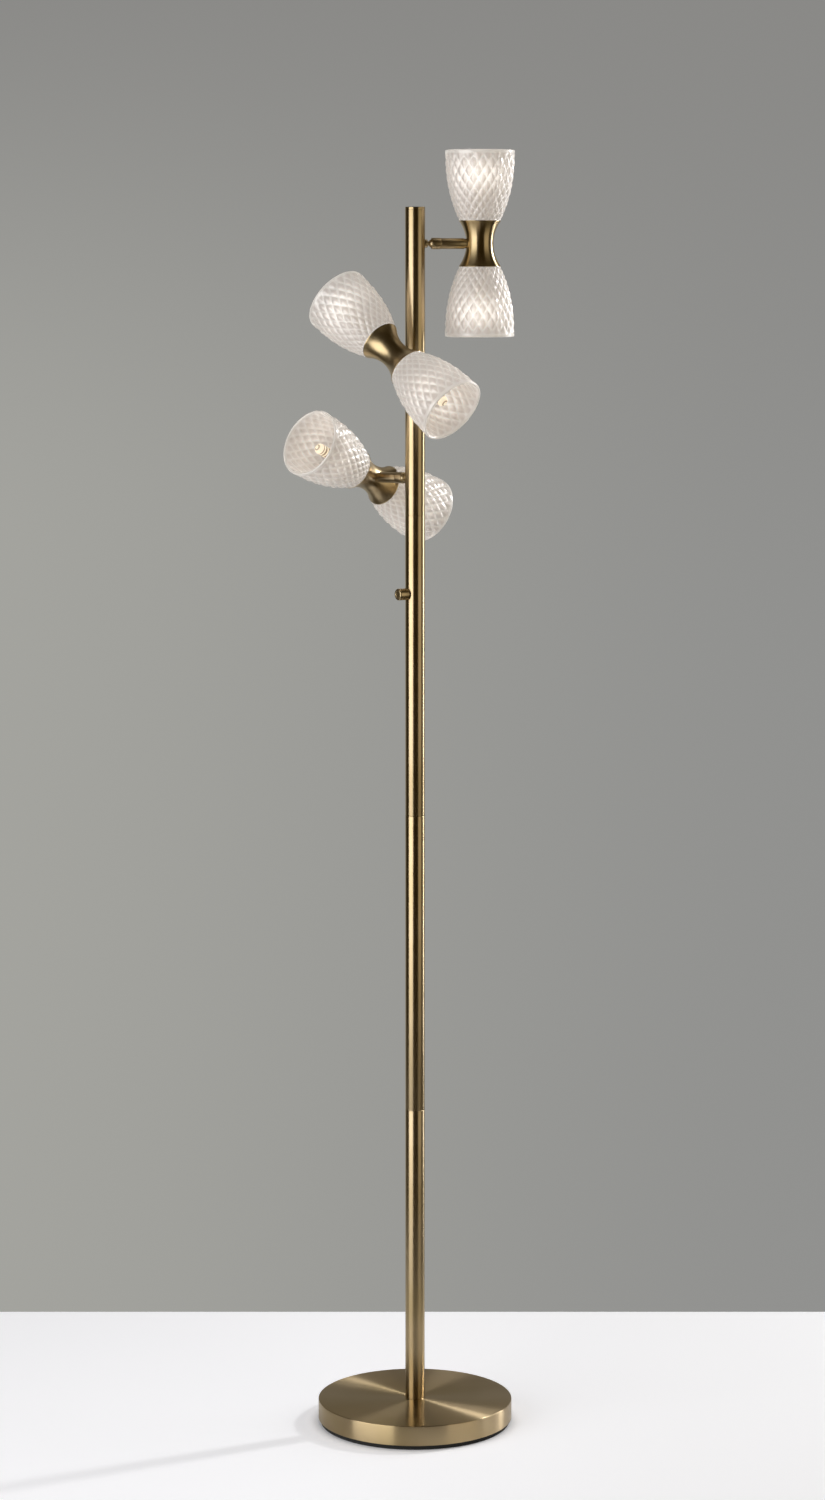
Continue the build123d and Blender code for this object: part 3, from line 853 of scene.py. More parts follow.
# ------------------------------------------------------------------ pole
@dataclass
class Pole:
    """Four equal tubes with fine seams between them and a flat cap."""

    radius: float = 12.7 * MM
    wall: float = 1.2 * MM
    foot: float = 32.0 * MM
    tube_length: float = 387.0 * MM
    tubes: int = 4
    seam: float = 0.35 * MM
    cap: float = 3.0 * MM
    spigot: float = 12.0 * MM
    cap_bore: float = 9.5 * MM

    def build(self) -> None:
        """Make the tubes and the cap."""
        for index in range(self.tubes):
            self._tube(index)
        self._cap()

    def _tube(self, index: int) -> None:
        """One tube with eased ends.

        Args:
            index: Which tube, counted from the foot.
        """
        low = self.foot + index * self.tube_length
        high = low + self.tube_length
        inner = self.radius - self.wall
        outline = Outline(inner, low)
        outline.to(self.radius, low, self.seam)
        outline.to(self.radius, (low + high) / 2.0)
        outline.to(self.radius, high, self.seam)
        outline.to(inner, high)
        seat = Seat(f"pole_section_{index + 1}", "stand", POLE_BRASS, (f"pole_tube_{index + 1}",))
        turn_piece(outline, Matrix.Identity(4), seat, closed=True, segments=128)

    def _cap(self) -> None:
        """Flat cap with an eased rim and a spigot in the top tube."""
        top = self.foot + self.tubes * self.tube_length
        plug = self.radius - self.wall - 0.05 * MM
        outline = Outline(0.0, top + self.cap)
        outline.to(self.radius, top + self.cap, 0.6 * MM)
        outline.to(self.radius, top, 0.2 * MM)
        outline.to(plug, top)
        outline.to(plug, top - self.spigot, 0.4 * MM)
        outline.to(self.cap_bore, top - self.spigot, 0.4 * MM)
        outline.to(self.cap_bore, top)
        outline.to(0.0, top)
        seat = Seat("pole_end_cap", "stand", POLE_BRASS, ("pole_cap",))
        turn_piece(outline, Matrix.Identity(4), seat, segments=128)


# ------------------------------------------------------------------ heads
@dataclass
class HeadPlace:
    """Where one head's pieces stand, read from the frame."""

    name: str
    ball: Vector
    arm: Vector
    centre: Vector
    axis: Vector

    @classmethod
    def read(cls, name: str) -> "HeadPlace":
        """Read a head's ball, arm and shade axis from its joint and its two shades.

        Args:
            name: The head's body name.

        Returns:
            The head's place at rest.
        """
        joint = next(j for j in frame["joints"] if j["name"] == f"{name}_turn")
        upper = surface_centre(f"{name}_shade_a")
        lower = surface_centre(f"{name}_shade_b")
        return cls(
            name,
            Vector(joint["pos_m"]),
            Vector(joint["axis"]).normalized(),
            (upper + lower) / 2.0,
            (upper - lower).normalized(),
        )

    def along_arm(self) -> Matrix:
        """Axes at the ball with Z along the arm."""
        return axes_at(self.ball, self.axis, self.arm)

    def at_end(self, side: Side) -> Matrix:
        """Axes at the spool's centre with Z towards the shade of the given side."""
        up = self.axis if side is Side.UPPER else -self.axis
        return axes_at(self.centre, self.arm, up)


def surface_centre(node: str) -> Vector:
    """Centre of a node's surface, each face weighed by its area.

    Args:
        node: The CAD node's name.

    Returns:
        The centre in the frame's axes.
    """
    mesh = frame["nodes"][node].data
    total = sum(p.area for p in mesh.polygons)
    return sum((p.center * p.area for p in mesh.polygons), Vector()) / total


@dataclass
class BallSwivel:
    """Ball stud on the pole, swivel cap over the ball, and the arm tube out to the spool."""

    head: HeadPlace
    stem_radius: float = 3.0 * MM
    hub_radius: float = 5.2 * MM
    ball_radius: float = 5.9 * MM
    ball_offset: float = 23.0 * MM
    hub_sunk: float = 0.5 * MM
    hub_end: float = 15.6 * MM
    wire_bore: float = 2.0 * MM
    cap_radius: float = 7.2 * MM
    cap_bore: float = 6.5 * MM
    cap_cavity: float = 6.45 * MM
    cap_mouth: float = -1.9 * MM
    cap_end: float = 9.6 * MM
    groove: float = 0.4 * MM
    arm_radius: float = 6.8 * MM
    arm_bore: float = 2.2 * MM
    spigot_radius: float = 6.43 * MM
    spigot_start: float = 6.67 * MM
    neck_radius: float = 6.1 * MM
    neck_start: float = 40.4 * MM
    tip_radius: float = 5.0 * MM
    tip_end: float = 51.2 * MM
    waist_face: float = 44.6 * MM

    def build(self) -> None:
        """Make the stud, the swivel cap and the arm."""
        self._stud()
        self._swivel_cap()
        self._arm()

    def _stud(self) -> None:
        """Hub against the pole, thin stem and ball, bored for the wires."""
        outward = Vector((self.head.ball.x, self.head.ball.y, 0.0)).normalized()
        place = axes_at(self.head.ball, Vector((0.0, 0.0, 1.0)), outward)
        pole_face = Pole.radius - self.ball_offset - self.hub_sunk
        hub_face = self.hub_end - self.ball_offset
        stem_end = -math.sqrt(self.ball_radius**2 - self.stem_radius**2)
        front = math.sqrt(self.ball_radius**2 - self.wire_bore**2)
        outline = Outline(self.wire_bore, pole_face)
        outline.to(self.hub_radius, pole_face)
        outline.to(self.hub_radius, hub_face, 0.5 * MM)
        outline.to(self.stem_radius, hub_face, 0.2 * MM)
        outline.to(self.stem_radius, stem_end)
        outline.arc((self.ball_radius, 0.0), (self.wire_bore, front), 28)
        seat = Seat(f"{self.head.name}_ball_stud", "stand", SATIN_BRASS, ("ball_studs",))
        turn_piece(outline, place, seat, closed=True, segments=64)

    def _swivel_cap(self) -> None:
        """Screwed cap whose mouth closes over the ball."""
        mouth = math.sqrt(self.cap_cavity**2 - self.cap_mouth**2)
        half = self.cap_mouth / 2.0
        outline = Outline(self.cap_radius, self.cap_mouth, 0.5 * MM)
        outline.to(self.cap_radius, self.cap_end, 0.35 * MM)
        outline.to(self.cap_bore, self.cap_end)
        outline.to(self.cap_bore, 0.0)
        outline.to(self.cap_cavity, 0.0)
        outline.arc((math.sqrt(self.cap_cavity**2 - half**2), half), (mouth, self.cap_mouth), 6)
        seat = Seat(
            f"{self.head.name}_cap",
            f"{self.head.name}_swivel_cap",
            SATIN_BRASS,
            (f"{self.head.name}_collar",),
        )
        turn_piece(outline, self.head.along_arm(), seat, closed=True, segments=64)

    def _arm(self) -> None:
        """Spigot, tube with eased ends, narrow neck against the spool and threaded tip."""
        start = self.cap_end + self.groove
        outline = Outline(self.arm_bore, self.spigot_start)
        outline.to(self.spigot_radius, self.spigot_start)
        outline.to(self.spigot_radius, start)
        outline.to(self.arm_radius, start, 0.3 * MM)
        outline.to(self.arm_radius, self.neck_start, 0.5 * MM)
        outline.to(self.neck_radius, self.neck_start, 0.2 * MM)
        outline.to(self.neck_radius, self.waist_face)
        outline.to(self.tip_radius, self.waist_face)
        outline.to(self.tip_radius, self.tip_end, 0.5 * MM)
        outline.to(self.arm_bore, self.tip_end)
        name = self.head.name
        seat = Seat(f"{name}_arm_tube", name, SATIN_BRASS, (f"{name}_arm",))
        turn_piece(outline, self.head.along_arm(), seat, closed=True, segments=64)


@dataclass
class Spool:
    """Hourglass spool between a head's two shades, a thin turned shell."""

    head: HeadPlace
    half: float = 29.0 * MM
    waist: float = 17.4 * MM
    flange: float = 26.8 * MM
    wall: float = 1.6 * MM
    disc: float = 24.8 * MM
    disc_thickness: float = 2.0 * MM
    ledge: float = 1.1 * MM
    bead: float = 0.5 * MM

    def build(self) -> None:
        """Make the shell with its disc seats."""
        seat_depth = self.half - self.disc_thickness
        inner = self.disc - self.ledge
        outline = Outline(self.flange, self.half, 0.35 * MM)
        outline.to(self.disc, self.half, 0.3 * MM)
        outline.to(self.disc, seat_depth)
        outline.to(inner, seat_depth)
        outline.arc((self.waist - self.wall, 0.0), (inner, -seat_depth), 24)
        outline.to(self.disc, -seat_depth)
        outline.to(self.disc, -self.half, 0.3 * MM)
        outline.to(self.flange, -self.half, 0.35 * MM)
        outline.to(self.flange, -self.half + self.bead)
        outline.arc((self.waist, 0.0), (self.flange, self.half - self.bead), 40)
        name = self.head.name
        upright = abs(self.head.axis.z) > 0.99
        finish = UPRIGHT_BRASS if upright else SATIN_BRASS
        seat = Seat(f"{name}_hourglass", name, finish, (f"{name}_spool",))
        turn_piece(outline, self.head.at_end(Side.UPPER), seat, closed=True)


@dataclass
class Shade:
    """Pressed glass bell with a lattice of stretched diamond pillows outside and in."""

    start: float = 29.1 * MM
    length: float = 88.4 * MM
    neck: float = 26.4 * MM
    belly: float = 44.3 * MM
    swell: float = 2.4
    wall: float = 3.0 * MM
    floor: float = 3.2 * MM
    hole: float = 13.6 * MM
    diamonds_round: int = 22
    diamond_shape: float = 1.57
    samples: int = 12
    relief: float = 1.9 * MM
    inner_share: float = 0.85
    roundness: float = 1.35
    cell: float = 0.43
    dome: float = 1.7
    plain_rim: float = 3.2 * MM
    rim_fade: float = 3.0 * MM
    neck_fade: float = 1.2 * MM
    neck_ease: float = 0.6 * MM
    floor_gap: float = 0.4 * MM
    taper: float = 0.4
    glow_centre: float = 85.0 * MM
    glow_reach: float = 27.0 * MM

    def radius(self, height: float) -> float:
        """Outer radius of the glass.

        Args:
            height: Height above the spool's centre.

        Returns:
            The radius there, without the relief.
        """
        rise = self.length - self.wall / 2.0
        share = min(1.0, max(0.0, (height - self.start) / rise))
        return self.neck + (self.belly - self.neck) * (1.0 - (1.0 - share) ** self.swell)

    def rows(self) -> list[tuple[float, float]]:
        """Heights of the mesh rows and how many diamonds high each stands.

        Returns:
            Pairs of height and diamond count, spaced so that the lattice falls on the rows.
        """
        end = self.start + self.length - self.wall / 2.0
        per_sample = FULL_TURN * self.diamond_shape / (self.diamonds_round * self.samples)
        found, height, index = [], self.start, 0
        while height < end:
            found.append((height, index / self.samples))
            size = self.radius(height)
            slope = (self.radius(height + 0.5 * MM) - size) / (0.5 * MM)
            height += size * per_sample / math.hypot(1.0, slope)
            index += 1
        return found

    def section(self) -> list[tuple[float, float, float, float]]:
        """The wall's ring section.

        Returns:
            Its points as radius, height, diamonds high and depth of relief.
        """
        rows = self.rows()
        end = self.start + self.length - self.wall / 2.0
        points = [(self.radius(z), z, count, self._depth(z)) for z, count in rows]
        rim = self.radius(end)
        middle = (rim - self.wall / 2.0, end + self.wall / 2.0)
        lip = [(rim, end), *arc_between((rim, end), middle, (rim - self.wall, end), 8)]
        points += [(radius, height, 0.0, 0.0) for radius, height in lip]
        inside = self.start + self.floor
        for height, count in reversed(rows):
            if height > inside + self.floor_gap:
                depth = self._depth(height) * self.inner_share
                points.append((self.radius(height) - self.wall, height, count, depth))
        floor = Outline(self.radius(inside) - self.wall, inside).to(self.hole, inside)
        floor.to(self.hole, self.start).to(self.neck - self.neck_ease, self.start)
        return points + [(radius, height, 0.0, 0.0) for radius, height in floor.points(False)]

    def _depth(self, height: float) -> float:
        """Depth of the relief, a little less at the neck, fading at both ends.

        Args:
            height: Height above the spool's centre.

        Returns:
            The depth there.
        """
        rim = self.start + self.length - self.wall / 2.0
        fade = min(1.0, max(0.0, (rim - height - self.plain_rim) / self.rim_fade))
        fade *= min(1.0, max(0.0, (height - self.start) / self.neck_fade))
        return self.relief * fade * (self.radius(height) / self.belly) ** self.taper

    def shape(self) -> bpy.types.Mesh:
        """Press the shade's mesh about its own axis.

        Returns:
            A mesh with Z from the spool's centre to the open rim.
        """
        bm = bmesh.new()
        count_layer = bm.verts.layers.float.new("count")
        depth_layer = bm.verts.layers.float.new("depth")
        verts = []
        for radius, height, count, depth in self.section():
            vert = bm.verts.new((radius, 0.0, height))
            vert[count_layer] = count
            vert[depth_layer] = depth
            verts.append(vert)
        edges = [bm.edges.new(pair) for pair in zip(verts, verts[1:])]
        edges.append(bm.edges.new((verts[-1], verts[0])))
        spin_shut(bm, verts + edges, self.diamonds_round * self.samples)
        low = self._press(bm, count_layer, depth_layer)
        self._crease(bm, low)
        self._light(bm)
        soften(bm, math.radians(60.0))
        for name in ("count", "depth"):
            bm.verts.layers.float.remove(bm.verts.layers.float[name])
        return to_mesh(bm, "shade_glass")

    def _press(self, bm: bmesh.types.BMesh, count_layer: object, depth_layer: object) -> set[int]:
        """Press the diamond lattice into the walls.

        Args:
            bm: The smooth shell.
            count_layer: How many diamonds high each vertex stands.
            depth_layer: How deep the relief is at each vertex.

        Returns:
            Indices of the vertices on the lattice's valleys.
        """
        low = set()
        crest_layer = bm.verts.layers.float.new("crest")
        bm.verts.index_update()
        for vert in bm.verts:
            depth = vert[depth_layer]
            if depth <= 0.0:
                continue
            turn = math.atan2(vert.co.y, vert.co.x) / FULL_TURN * self.diamonds_round
            rise = vert[count_layer]
            across = math.sin(math.pi * (turn + rise)) * math.sin(math.pi * (turn - rise))
            if abs(across) < 1e-5:
                low.add(vert.index)
            size = math.hypot(vert.co.x, vert.co.y)
            vert[crest_layer] = self._pillow(turn, rise)
            pressed = size - depth * (1.0 - vert[crest_layer])
            vert.co.x *= pressed / size
            vert.co.y *= pressed / size
        return low

    def _pillow(self, turn: float, rise: float) -> float:
        """Share of the relief left standing at a place on the lattice.

        Args:
            turn: Place round the shade, counted in diamonds.
            rise: Place along the shade, counted in diamonds.

        Returns:
            1 at the middle of a pillow, 0 in the valleys.
        """
        first = math.floor(turn + rise) + 0.5
        second = math.floor(turn - rise) + 0.5
        across = abs(turn - (first + second) / 2.0)
        along = abs(rise - (first - second) / 2.0)
        away = (across**self.roundness + along**self.roundness) ** (1.0 / self.roundness)
        return max(0.0, 1.0 - (away / self.cell) ** self.dome)

    def _crease(self, bm: bmesh.types.BMesh, low: set[int]) -> None:
        """Split the quads that a valley crosses along it, so that the valleys run clean.

        Args:
            bm: The pressed shell.
            low: Indices of the vertices on the valleys.
        """
        for face in list(bm.faces):
            corners = face.verts[:]
            if len(corners) != 4:
                continue
            for first, second in ((0, 2), (1, 3)):
                if corners[first].index in low and corners[second].index in low:
                    bmesh.utils.face_split(face, corners[first], corners[second])
                    break

    def _light(self, bm: bmesh.types.BMesh) -> None:
        """Store how near each point of the glass is to the middle of the bulb, for the glass's painted
        glow.

        Args:
            bm: The pressed shell.
        """
        layer = bm.verts.layers.float.new("glow")
        for vert in bm.verts:
            away = abs(vert.co.z - self.glow_centre) / self.glow_reach
            vert[layer] = math.exp(-away * away * 2.0)


@dataclass
class Capsule:
    """Ribbed capsule bulb with a pinched foot in its holder."""

    radius: float = 7.0 * MM
    foot: float = 45.1 * MM
    tip: float = 103.0 * MM
    ribs_start: float = 60.0 * MM
    rib_pitch: float = 5.1 * MM
    rib_depth: float = 0.7 * MM
    tip_ring: float = 3.4 * MM
    ring_width: float = 1.2 * MM
    plain_ease: float = 0.4 * MM
    dome_ease: float = 0.2 * MM
    pinch_depth: float = 8.7 * MM
    pinch_width: float = 10.8 * MM
    pinch_thickness: float = 5.4 * MM
    pinch_rounding: float = 0.8 * MM
    overlap: float = 0.1 * MM

    def shape(self) -> bpy.types.Mesh:
        """Turn the bulb's mesh about its own axis.

        Returns:
            A mesh with Z from the spool's centre to the bulb's tip.
        """
        shoulder = self.tip - self.radius
        outline = Outline(0.0, self.foot)
        outline.to(self.radius - self.plain_ease, self.foot, 0.8 * MM)
        steps = int((shoulder - self.foot) / (self.rib_pitch / 8.0))
        for step in range(1, steps):
            height = self.foot + (shoulder - self.foot) * step / steps
            outline.to(self.radius - self._hollow(height), height)
        dome = self.radius - self.dome_ease
        outline.to(dome, shoulder)
        cosine = math.cos(math.radians(45.0))
        outline.arc((dome * cosine, shoulder + self.radius * cosine), (0.0, self.tip), 14)
        bm = turned(outline.points(False), False, 48)
        self._mark(bm)
        foot = bmesh.ops.create_cube(bm, size=1.0)
        shift = Matrix.Translation((0.0, 0.0, self.foot - self.pinch_depth / 2.0 + self.overlap))
        size = Matrix.Diagonal((self.pinch_width, self.pinch_thickness, self.pinch_depth, 1.0))
        bmesh.ops.transform(bm, matrix=shift @ size, verts=foot["verts"])
        edges = list({e for v in foot["verts"] for e in v.link_edges})
        rounding = self.pinch_rounding
        bmesh.ops.bevel(
            bm, geom=edges, offset=rounding, segments=3, profile=0.5, affect="EDGES", material=-1
        )
        soften(bm)
        return to_mesh(bm, "capsule_glass")

    def _hollow(self, height: float) -> float:
        """How far the glass is drawn in.

        Args:
            height: Height above the spool's centre.

        Returns:
            The depth there, 0 at the crest of a rib.
        """
        if height < self.ribs_start:
            return self.plain_ease
        wave = math.cos(FULL_TURN * (height - self.ribs_start) / self.rib_pitch)
        return self.rib_depth * (0.5 + 0.5 * wave)

    def _mark(self, bm: bmesh.types.BMesh) -> None:
        """Store where the crests of the ribs are, and a ring round the tip, for the bulb's finish, which
        paints shade where this mark is low.

        Args:
            bm: The turned bulb.
        """
        layer = bm.verts.layers.float.new("rib")
        for vert in bm.verts:
            ring = math.hypot(vert.co.x, vert.co.y)
            crest = 1.0 - (self.radius - ring) / self.rib_depth
            if vert.co.z > self.tip - self.radius + self.overlap:
                crest = abs(ring - self.tip_ring) / self.ring_width
            vert[layer] = min(1.0, max(0.0, crest))


@dataclass
class Holder:
    """Ceramic lampholder: shoulder under the disc, sleeve and collar round the bulb's foot."""

    start: float = 20.0 * MM
    lower: float = 12.0 * MM
    shoulder: float = 16.0 * MM
    shoulder_start: float = 24.0 * MM
    shoulder_end: float = 27.0 * MM
    sleeve: float = 13.0 * MM
    sleeve_end: float = 40.0 * MM
    top: float = 11.0 * MM
    end: float = 45.0 * MM

    def outline(self) -> Outline:
        """Draw the holder's outline, closed on its axis.

        Returns:
            The outline, about the shade's axis.
        """
        outline = Outline(0.0, self.start)
        outline.to(self.lower, self.start, 0.8 * MM)
        outline.to(self.lower, self.shoulder_start, 0.5 * MM)
        outline.to(self.shoulder, self.shoulder_start, 0.5 * MM)
        outline.to(self.shoulder, self.shoulder_end, 0.3 * MM)
        outline.to(self.sleeve, self.shoulder_end)
        outline.to(self.sleeve, self.sleeve_end, 0.5 * MM)
        outline.to(self.top, self.sleeve_end, 0.3 * MM)
        outline.to(self.top, self.end, 0.9 * MM)
        outline.to(0.0, self.end)
        return outline


class Head:
    """One double-ended head: its swivel and arm, spool, two shades, two bulbs and holders."""

    def __init__(self, name: str, glass: bpy.types.Mesh, bulb: bpy.types.Mesh) -> None:
        """Read the head's place.

        Args:
            name: The head's body name.
            glass: The shade's mesh about its own axis.
            bulb: The bulb's mesh about its own axis.
        """
        self.place = HeadPlace.read(name)
        self.glass = glass
        self.bulb = bulb

    def build(self) -> None:
        """Make the head's pieces."""
        BallSwivel(self.place).build()
        Spool(self.place).build()
        for side in Side:
            self._end(side)

    def _end(self, side: Side) -> None:
        """One end of the head: shade, bulb and holder.

        Args:
            side: Which end.
        """
        place = self.place.at_end(side)
        self._copy(self.glass, place, self._seat("glass", "shade", side, GLASS))
        self._copy(self.bulb, place, self._seat("capsule", "bulb", side, BULB))
        seat = self._seat("lampholder", "holder", side, CERAMIC)
        turn_piece(Holder().outline(), place, seat, segments=64)

    def _seat(self, kind: str, node: str, side: Side, finish: Finish) -> Seat:
        """Seat of a piece of one end, by its own kind and that of the node it stands for."""
        name, end = self.place.name, side.value
        return Seat(f"{name}_{kind}_{end}", name, finish, (f"{name}_{node}_{end}",))

    @staticmethod
    def _copy(mesh: bpy.types.Mesh, place: Matrix, seat: Seat) -> None:
        """Set a copy of a shared mesh at its place.

        Args:
            mesh: The mesh about its own axis.
            place: Where that axis stands.
            seat: The piece's name, body, finish and the node that it stands for.
        """
        copy = mesh.copy()
        copy.name = seat.name
        copy.transform(place)
        place_piece(copy, seat)


# ------------------------------------------------------------------ switch knob
@dataclass
class Knob:
    """Turning knob on the front left of the pole, a short cylinder with a dished end."""

    radius: float = 7.5 * MM
    start: float = 13.3 * MM
    end: float = 27.5 * MM
    recess: float = 6.7 * MM
    recess_end: float = 16.3 * MM
    rounding: float = 1.8 * MM
    dish: float = 4.6 * MM
    dish_depth: float = 0.6 * MM
    bore: float = 3.05 * MM
    bore_end: float = 23.9 * MM

    def build(self) -> None:
        """Make the knob about the switch's own axis."""
        joint = next(j for j in frame["joints"] if j["name"] == "switch_turn")
        low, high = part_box("switch_knob")
        middle = (low + high) / 2.0
        outward = Vector((middle.x, middle.y, 0.0)).normalized()
        origin = Vector((0.0, 0.0, Vector(joint["pos_m"]).z))
        place = axes_at(origin, Vector((0.0, 0.0, 1.0)), outward)
        outline = Outline(0.0, self.end - self.dish_depth)
        outline.to(self.dish - 0.5 * MM, self.end - self.dish_depth, 0.4 * MM)
        outline.to(self.dish, self.end, 0.25 * MM)
        outline.to(self.radius, self.end, self.rounding)
        outline.to(self.radius, self.start, 0.3 * MM)
        outline.to(self.recess, self.start)
        outline.to(self.recess, self.recess_end)
        outline.to(self.bore, self.recess_end)
        outline.to(self.bore, self.bore_end)
        outline.to(0.0, self.bore_end)
        seat = Seat("switch_turning_knob", "knob", SATIN_BRASS, ("switch_knob",))
        turn_piece(outline, place, seat, segments=72)


# ------------------------------------------------------------------ studio
@dataclass(frozen=True)
class Softbox:
    """A soft studio light, aimed at the lamp."""

    name: str
    azimuth: float
    distance: float
    width: float
    height: float
    centre: float
    radiance: float
    tint: Colour = (1.0, 1.0, 1.0)
    aim: float = 1.0
    mirrored: bool = True

    def build(self) -> None:
        """Stand the light at its azimuth, degrees from the camera's side, positive to the right."""
        turn = math.radians(self.azimuth)
        spot = Vector((math.sin(turn), -math.cos(turn), 0.0)) * self.distance
        spot.z = self.centre
        data = bpy.data.lights.new(self.name, "AREA")
        data.shape = "RECTANGLE"
        data.size = self.width
        data.size_y = self.height
        data.energy = self.radiance * math.pi * self.width * self.height
        data.color = self.tint
        light = linked(self.name, data)
        light.location = spot
        away = spot - Vector((0.0, 0.0, self.aim))
        light.rotation_euler = away.to_track_quat("Z", "Y").to_euler()
        light.visible_camera = False
        light.visible_glossy = self.mirrored


@dataclass(frozen=True)
class Studio:
    """Plain pale floor in front of a plain grey room, soft lights, and the camera."""

    wall_line: float = 0.512
    floor_front: float = -0.37
    apron_front: float = -3.2
    mirrored_left: float = -0.8
    mirrored_right: float = 0.44
    floor_side: float = 3.0
    floor_colour: Colour = (0.86, 0.86, 0.875)
    # Painted light on the floor that only the camera sees, stronger to the left, with a painted shadow
    # round the base
    floor_painted_light: Colour = (0.35, 0.353, 0.377)
    floor_roughness: float = 0.6
    floor_unevenness: float = 0.1
    floor_sheen: float = 0.25
    floor_clouds: float = 3.0
    base_shadow: Span = (0.112, 0.145)
    painted_light_across: Span = (0.7, -0.7)
    painted_light_right: float = 0.68
    painted_light_gain: float = 0.52
    wall_low: Colour = (0.284, 0.284, 0.276)
    wall_high: Colour = (0.252, 0.249, 0.240)
    wall_above: Colour = (0.19, 0.172, 0.136)
    ceiling: Colour = (0.45, 0.42, 0.36)
    wall_left: Colour = (0.375, 0.373, 0.347)
    room_dark: Colour = (0.026, 0.018, 0.006)
    fade_low: Span = (0.10, -0.12)
    fade_left: Span = (0.12, -0.15)
    fade_left_low: Span = (0.09, -0.08)
    fade_above: Span = (0.06, 0.35)
    fade_ceiling: Span = (0.4, 0.7)
    fade_behind: Span = (0.5, 0.8)
    eye: tuple[float, float, float] = (-0.0033, -4.785, 1.521)
    pitch: float = 7.5
    lens: float = 90.0
    sensor: float = 36.0
    far_clip: float = 50.0
    lights: tuple[Softbox, ...] = (
        Softbox("key_softbox", -50.0, 2.3, 2.2, 2.4, 1.15, 2.45, aim=1.15),
        Softbox("rim_strip", 118.0, 2.1, 0.3, 1.9, 0.95, 6.5, aim=0.9),
        Softbox("rim_lamp", 118.0, 2.2, 0.1, 0.3, 2.1, 240.0, aim=0.7),
        Softbox("fill_softbox", 58.0, 2.6, 1.9, 2.4, 1.2, 0.68, (1.0, 0.9, 0.7), aim=1.2),
        Softbox("top_softbox", 10.0, 0.35, 1.8, 1.8, 3.1, 1.7, aim=0.0, mirrored=False),
        Softbox("side_softbox", 98.0, 1.6, 0.8, 0.8, 1.9, 2.4, aim=1.4, mirrored=False),
    )

    def build(self) -> None:
        """Make the floor, the room, the lights and the camera."""
        self._floor()
        self._room()
        for light in self.lights:
            light.build()
        self._camera()

    def _floor(self) -> None:
        """Flat pale floor up to the grey room; metal mirrors only the sheet round the lamp."""
        finish = self._floor_material()
        left, right, wide = self.mirrored_left, self.mirrored_right, self.floor_side
        front, back = self.floor_front, self.wall_line
        self._sheet("studio_floor", (left, right), (front, back), finish)
        for name, across, along in (
            ("studio_floor_left", (-wide, left), (front, back)),
            ("studio_floor_right", (right, wide), (front, back)),
            ("studio_apron", (-wide, wide), (self.apron_front, front)),
        ):
            self._sheet(name, across, along, finish).visible_glossy = False

    def _sheet(
        self, name: str, across: Span, along: Span, finish: bpy.types.Material
    ) -> bpy.types.Object:
        """One flat sheet of floor.

        Args:
            name: The sheet's name.
            across: Where it starts and ends from left to right.
            along: Where it starts and ends away from the camera.
            finish: Its material.

        Returns:
            The sheet, staged.
        """
        bm = bmesh.new()
        bmesh.ops.create_grid(bm, x_segments=2, y_segments=2, size=0.5)
        size = Matrix.Diagonal((across[1] - across[0], along[1] - along[0], 1.0, 1.0))
        shift = Matrix.Translation((sum(across) / 2.0, sum(along) / 2.0, 0.0))
        bmesh.ops.transform(bm, matrix=shift @ size, verts=bm.verts)
        mesh = to_mesh(bm, name)
        mesh.materials.append(finish)
        sheet = linked(name, mesh)
        return sheet

    def _floor_material(self) -> bpy.types.Material:
        """Make the pale matt floor, with painted light for the camera everywhere but round the base,
        where it leaves a painted shadow, and more painted light to the left.

        Returns:
            The material.
        """
        made = bpy.data.materials.new("studio_floor")
        made.use_nodes = True
        graph = Graph(made.node_tree)
        place = graph.place()
        tone = graph.noise(place, self.floor_clouds, 2.0)
        side, depth, _ = graph.split(place)
        # Painted shadow round the base, then painted light stronger to the left than to the right
        painted_light_mask = ((side * side + depth * depth) ** 0.5).step(*self.base_shadow)
        painted_light_mask = painted_light_mask * (side.step(*self.painted_light_across) * self.painted_light_gain + self.painted_light_right)
        share = (graph.is_camera_ray() * painted_light_mask).clamped()
        surface = graph.principled(
            Base_Color=self.floor_colour,
            Roughness=(tone * self.floor_unevenness + self.floor_roughness).clamped(),
            Specular_IOR_Level=self.floor_sheen,
            Emission_Color=graph.blend(share, BLACK, self.floor_painted_light),
            Emission_Strength=1.0,
        )
        graph.finish("ShaderNodeOutputMaterial", surface)
        return made

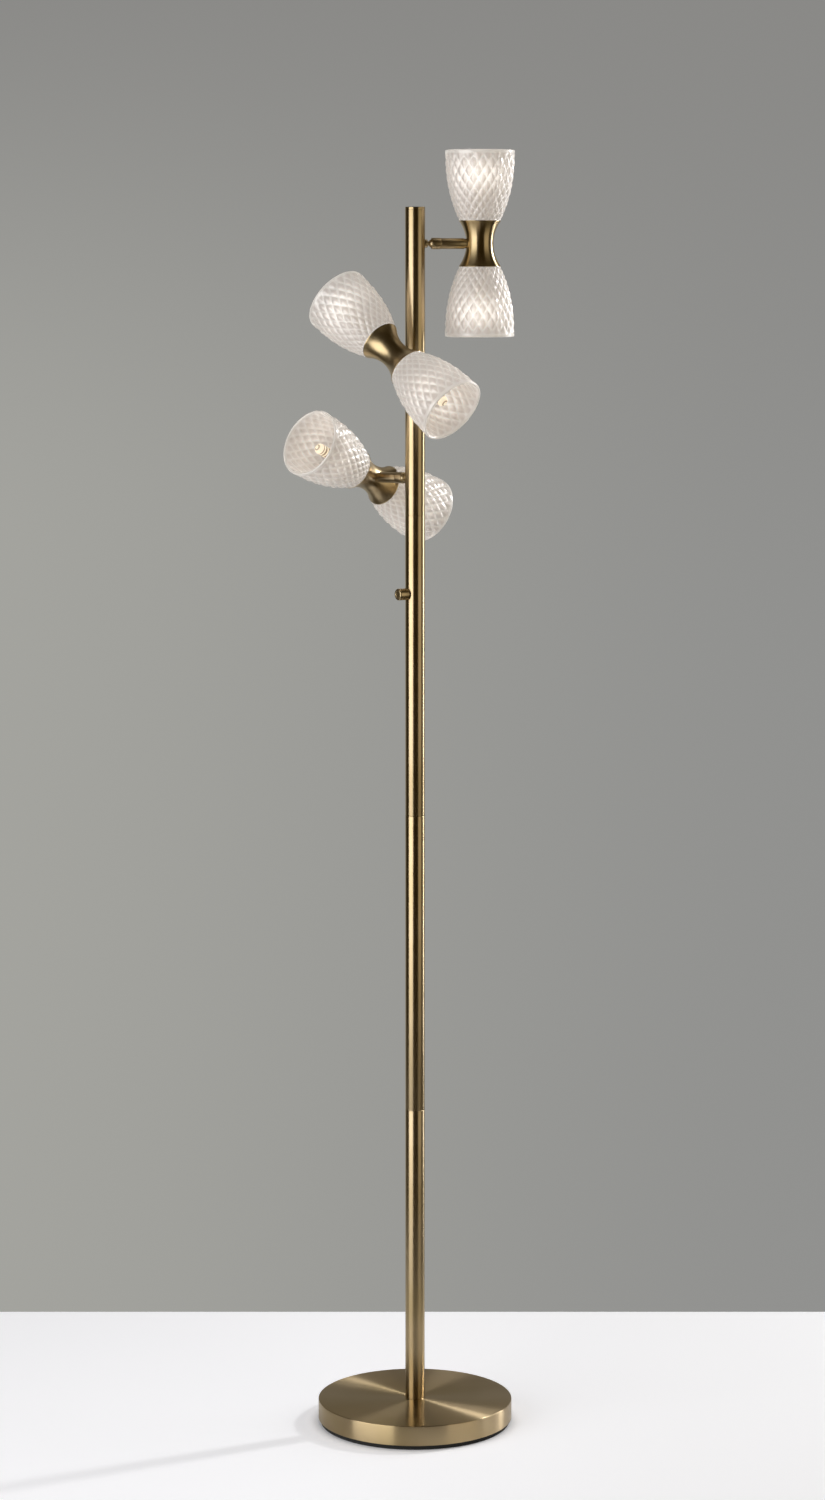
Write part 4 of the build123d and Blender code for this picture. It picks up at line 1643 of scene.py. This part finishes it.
    def _room(self) -> None:
        """Grey wall behind the lamp, darker room in front of it."""
        world = bpy.data.worlds.new("grey_room")
        world.use_nodes = True
        bpy.context.scene.world = world
        graph = Graph(world.node_tree)
        way = graph.output(graph.node("ShaderNodeTexCoord", {}), "Generated")
        side, depth, rise = graph.split(way)
        left = side.step(*self.fade_left) * rise.step(*self.fade_left_low)
        wall = graph.blend(rise.step(*self.fade_low), self.wall_high, self.wall_low)
        wall = graph.blend(left, wall, self.wall_left)
        wall = graph.blend(rise.step(*self.fade_above), wall, self.wall_above)
        wall = graph.blend(rise.step(*self.fade_ceiling), wall, self.ceiling)
        behind = (depth.step(*self.fade_behind) + graph.is_camera_ray()).clamped()
        colour = graph.blend(behind, self.room_dark, wall)
        graph.finish("ShaderNodeOutputWorld", graph.node("ShaderNodeBackground", {}, colour, 1.0))

    def _camera(self) -> None:
        """Camera at the photograph's place, looking slightly down."""
        data = bpy.data.cameras.new("photo_camera")
        data.lens = self.lens
        data.sensor_width = self.sensor
        data.clip_end = self.far_clip
        camera = linked("photo_camera", data)
        camera.location = self.eye
        camera.rotation_euler = (math.radians(90.0 - self.pitch), 0.0, 0.0)
        bpy.context.scene.camera = camera
        bpy.context.scene.view_settings.view_transform = "Standard"


# ------------------------------------------------------------------ whole lamp
def dress_frame() -> None:
    """Give every CAD node that stays its finish."""
    for name, node in frame["nodes"].items():
        if node.hide_render:
            continue
        kind = name.split("_", 1)[1] if name.startswith("head") else name
        node.data.materials.clear()
        node.data.materials.append(CAD_FINISHES[kind].material())
        log.info("frame node %s wears %s", name, CAD_FINISHES[kind].name)


def main() -> None:
    """Build the lamp's pieces and its studio."""
    logging.basicConfig(level=logging.INFO, format="%(name)s: %(message)s")
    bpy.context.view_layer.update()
    log.info("%d frame nodes loaded", len(frame["nodes"]))
    Base().build()
    Pole().build()
    glass = Shade().shape()
    bulb = Capsule().shape()
    for name in HEADS:
        Head(name, glass, bulb).build()
    Knob().build()
    dress_frame()
    Studio().build()


if __name__ == "__main__":
    main()
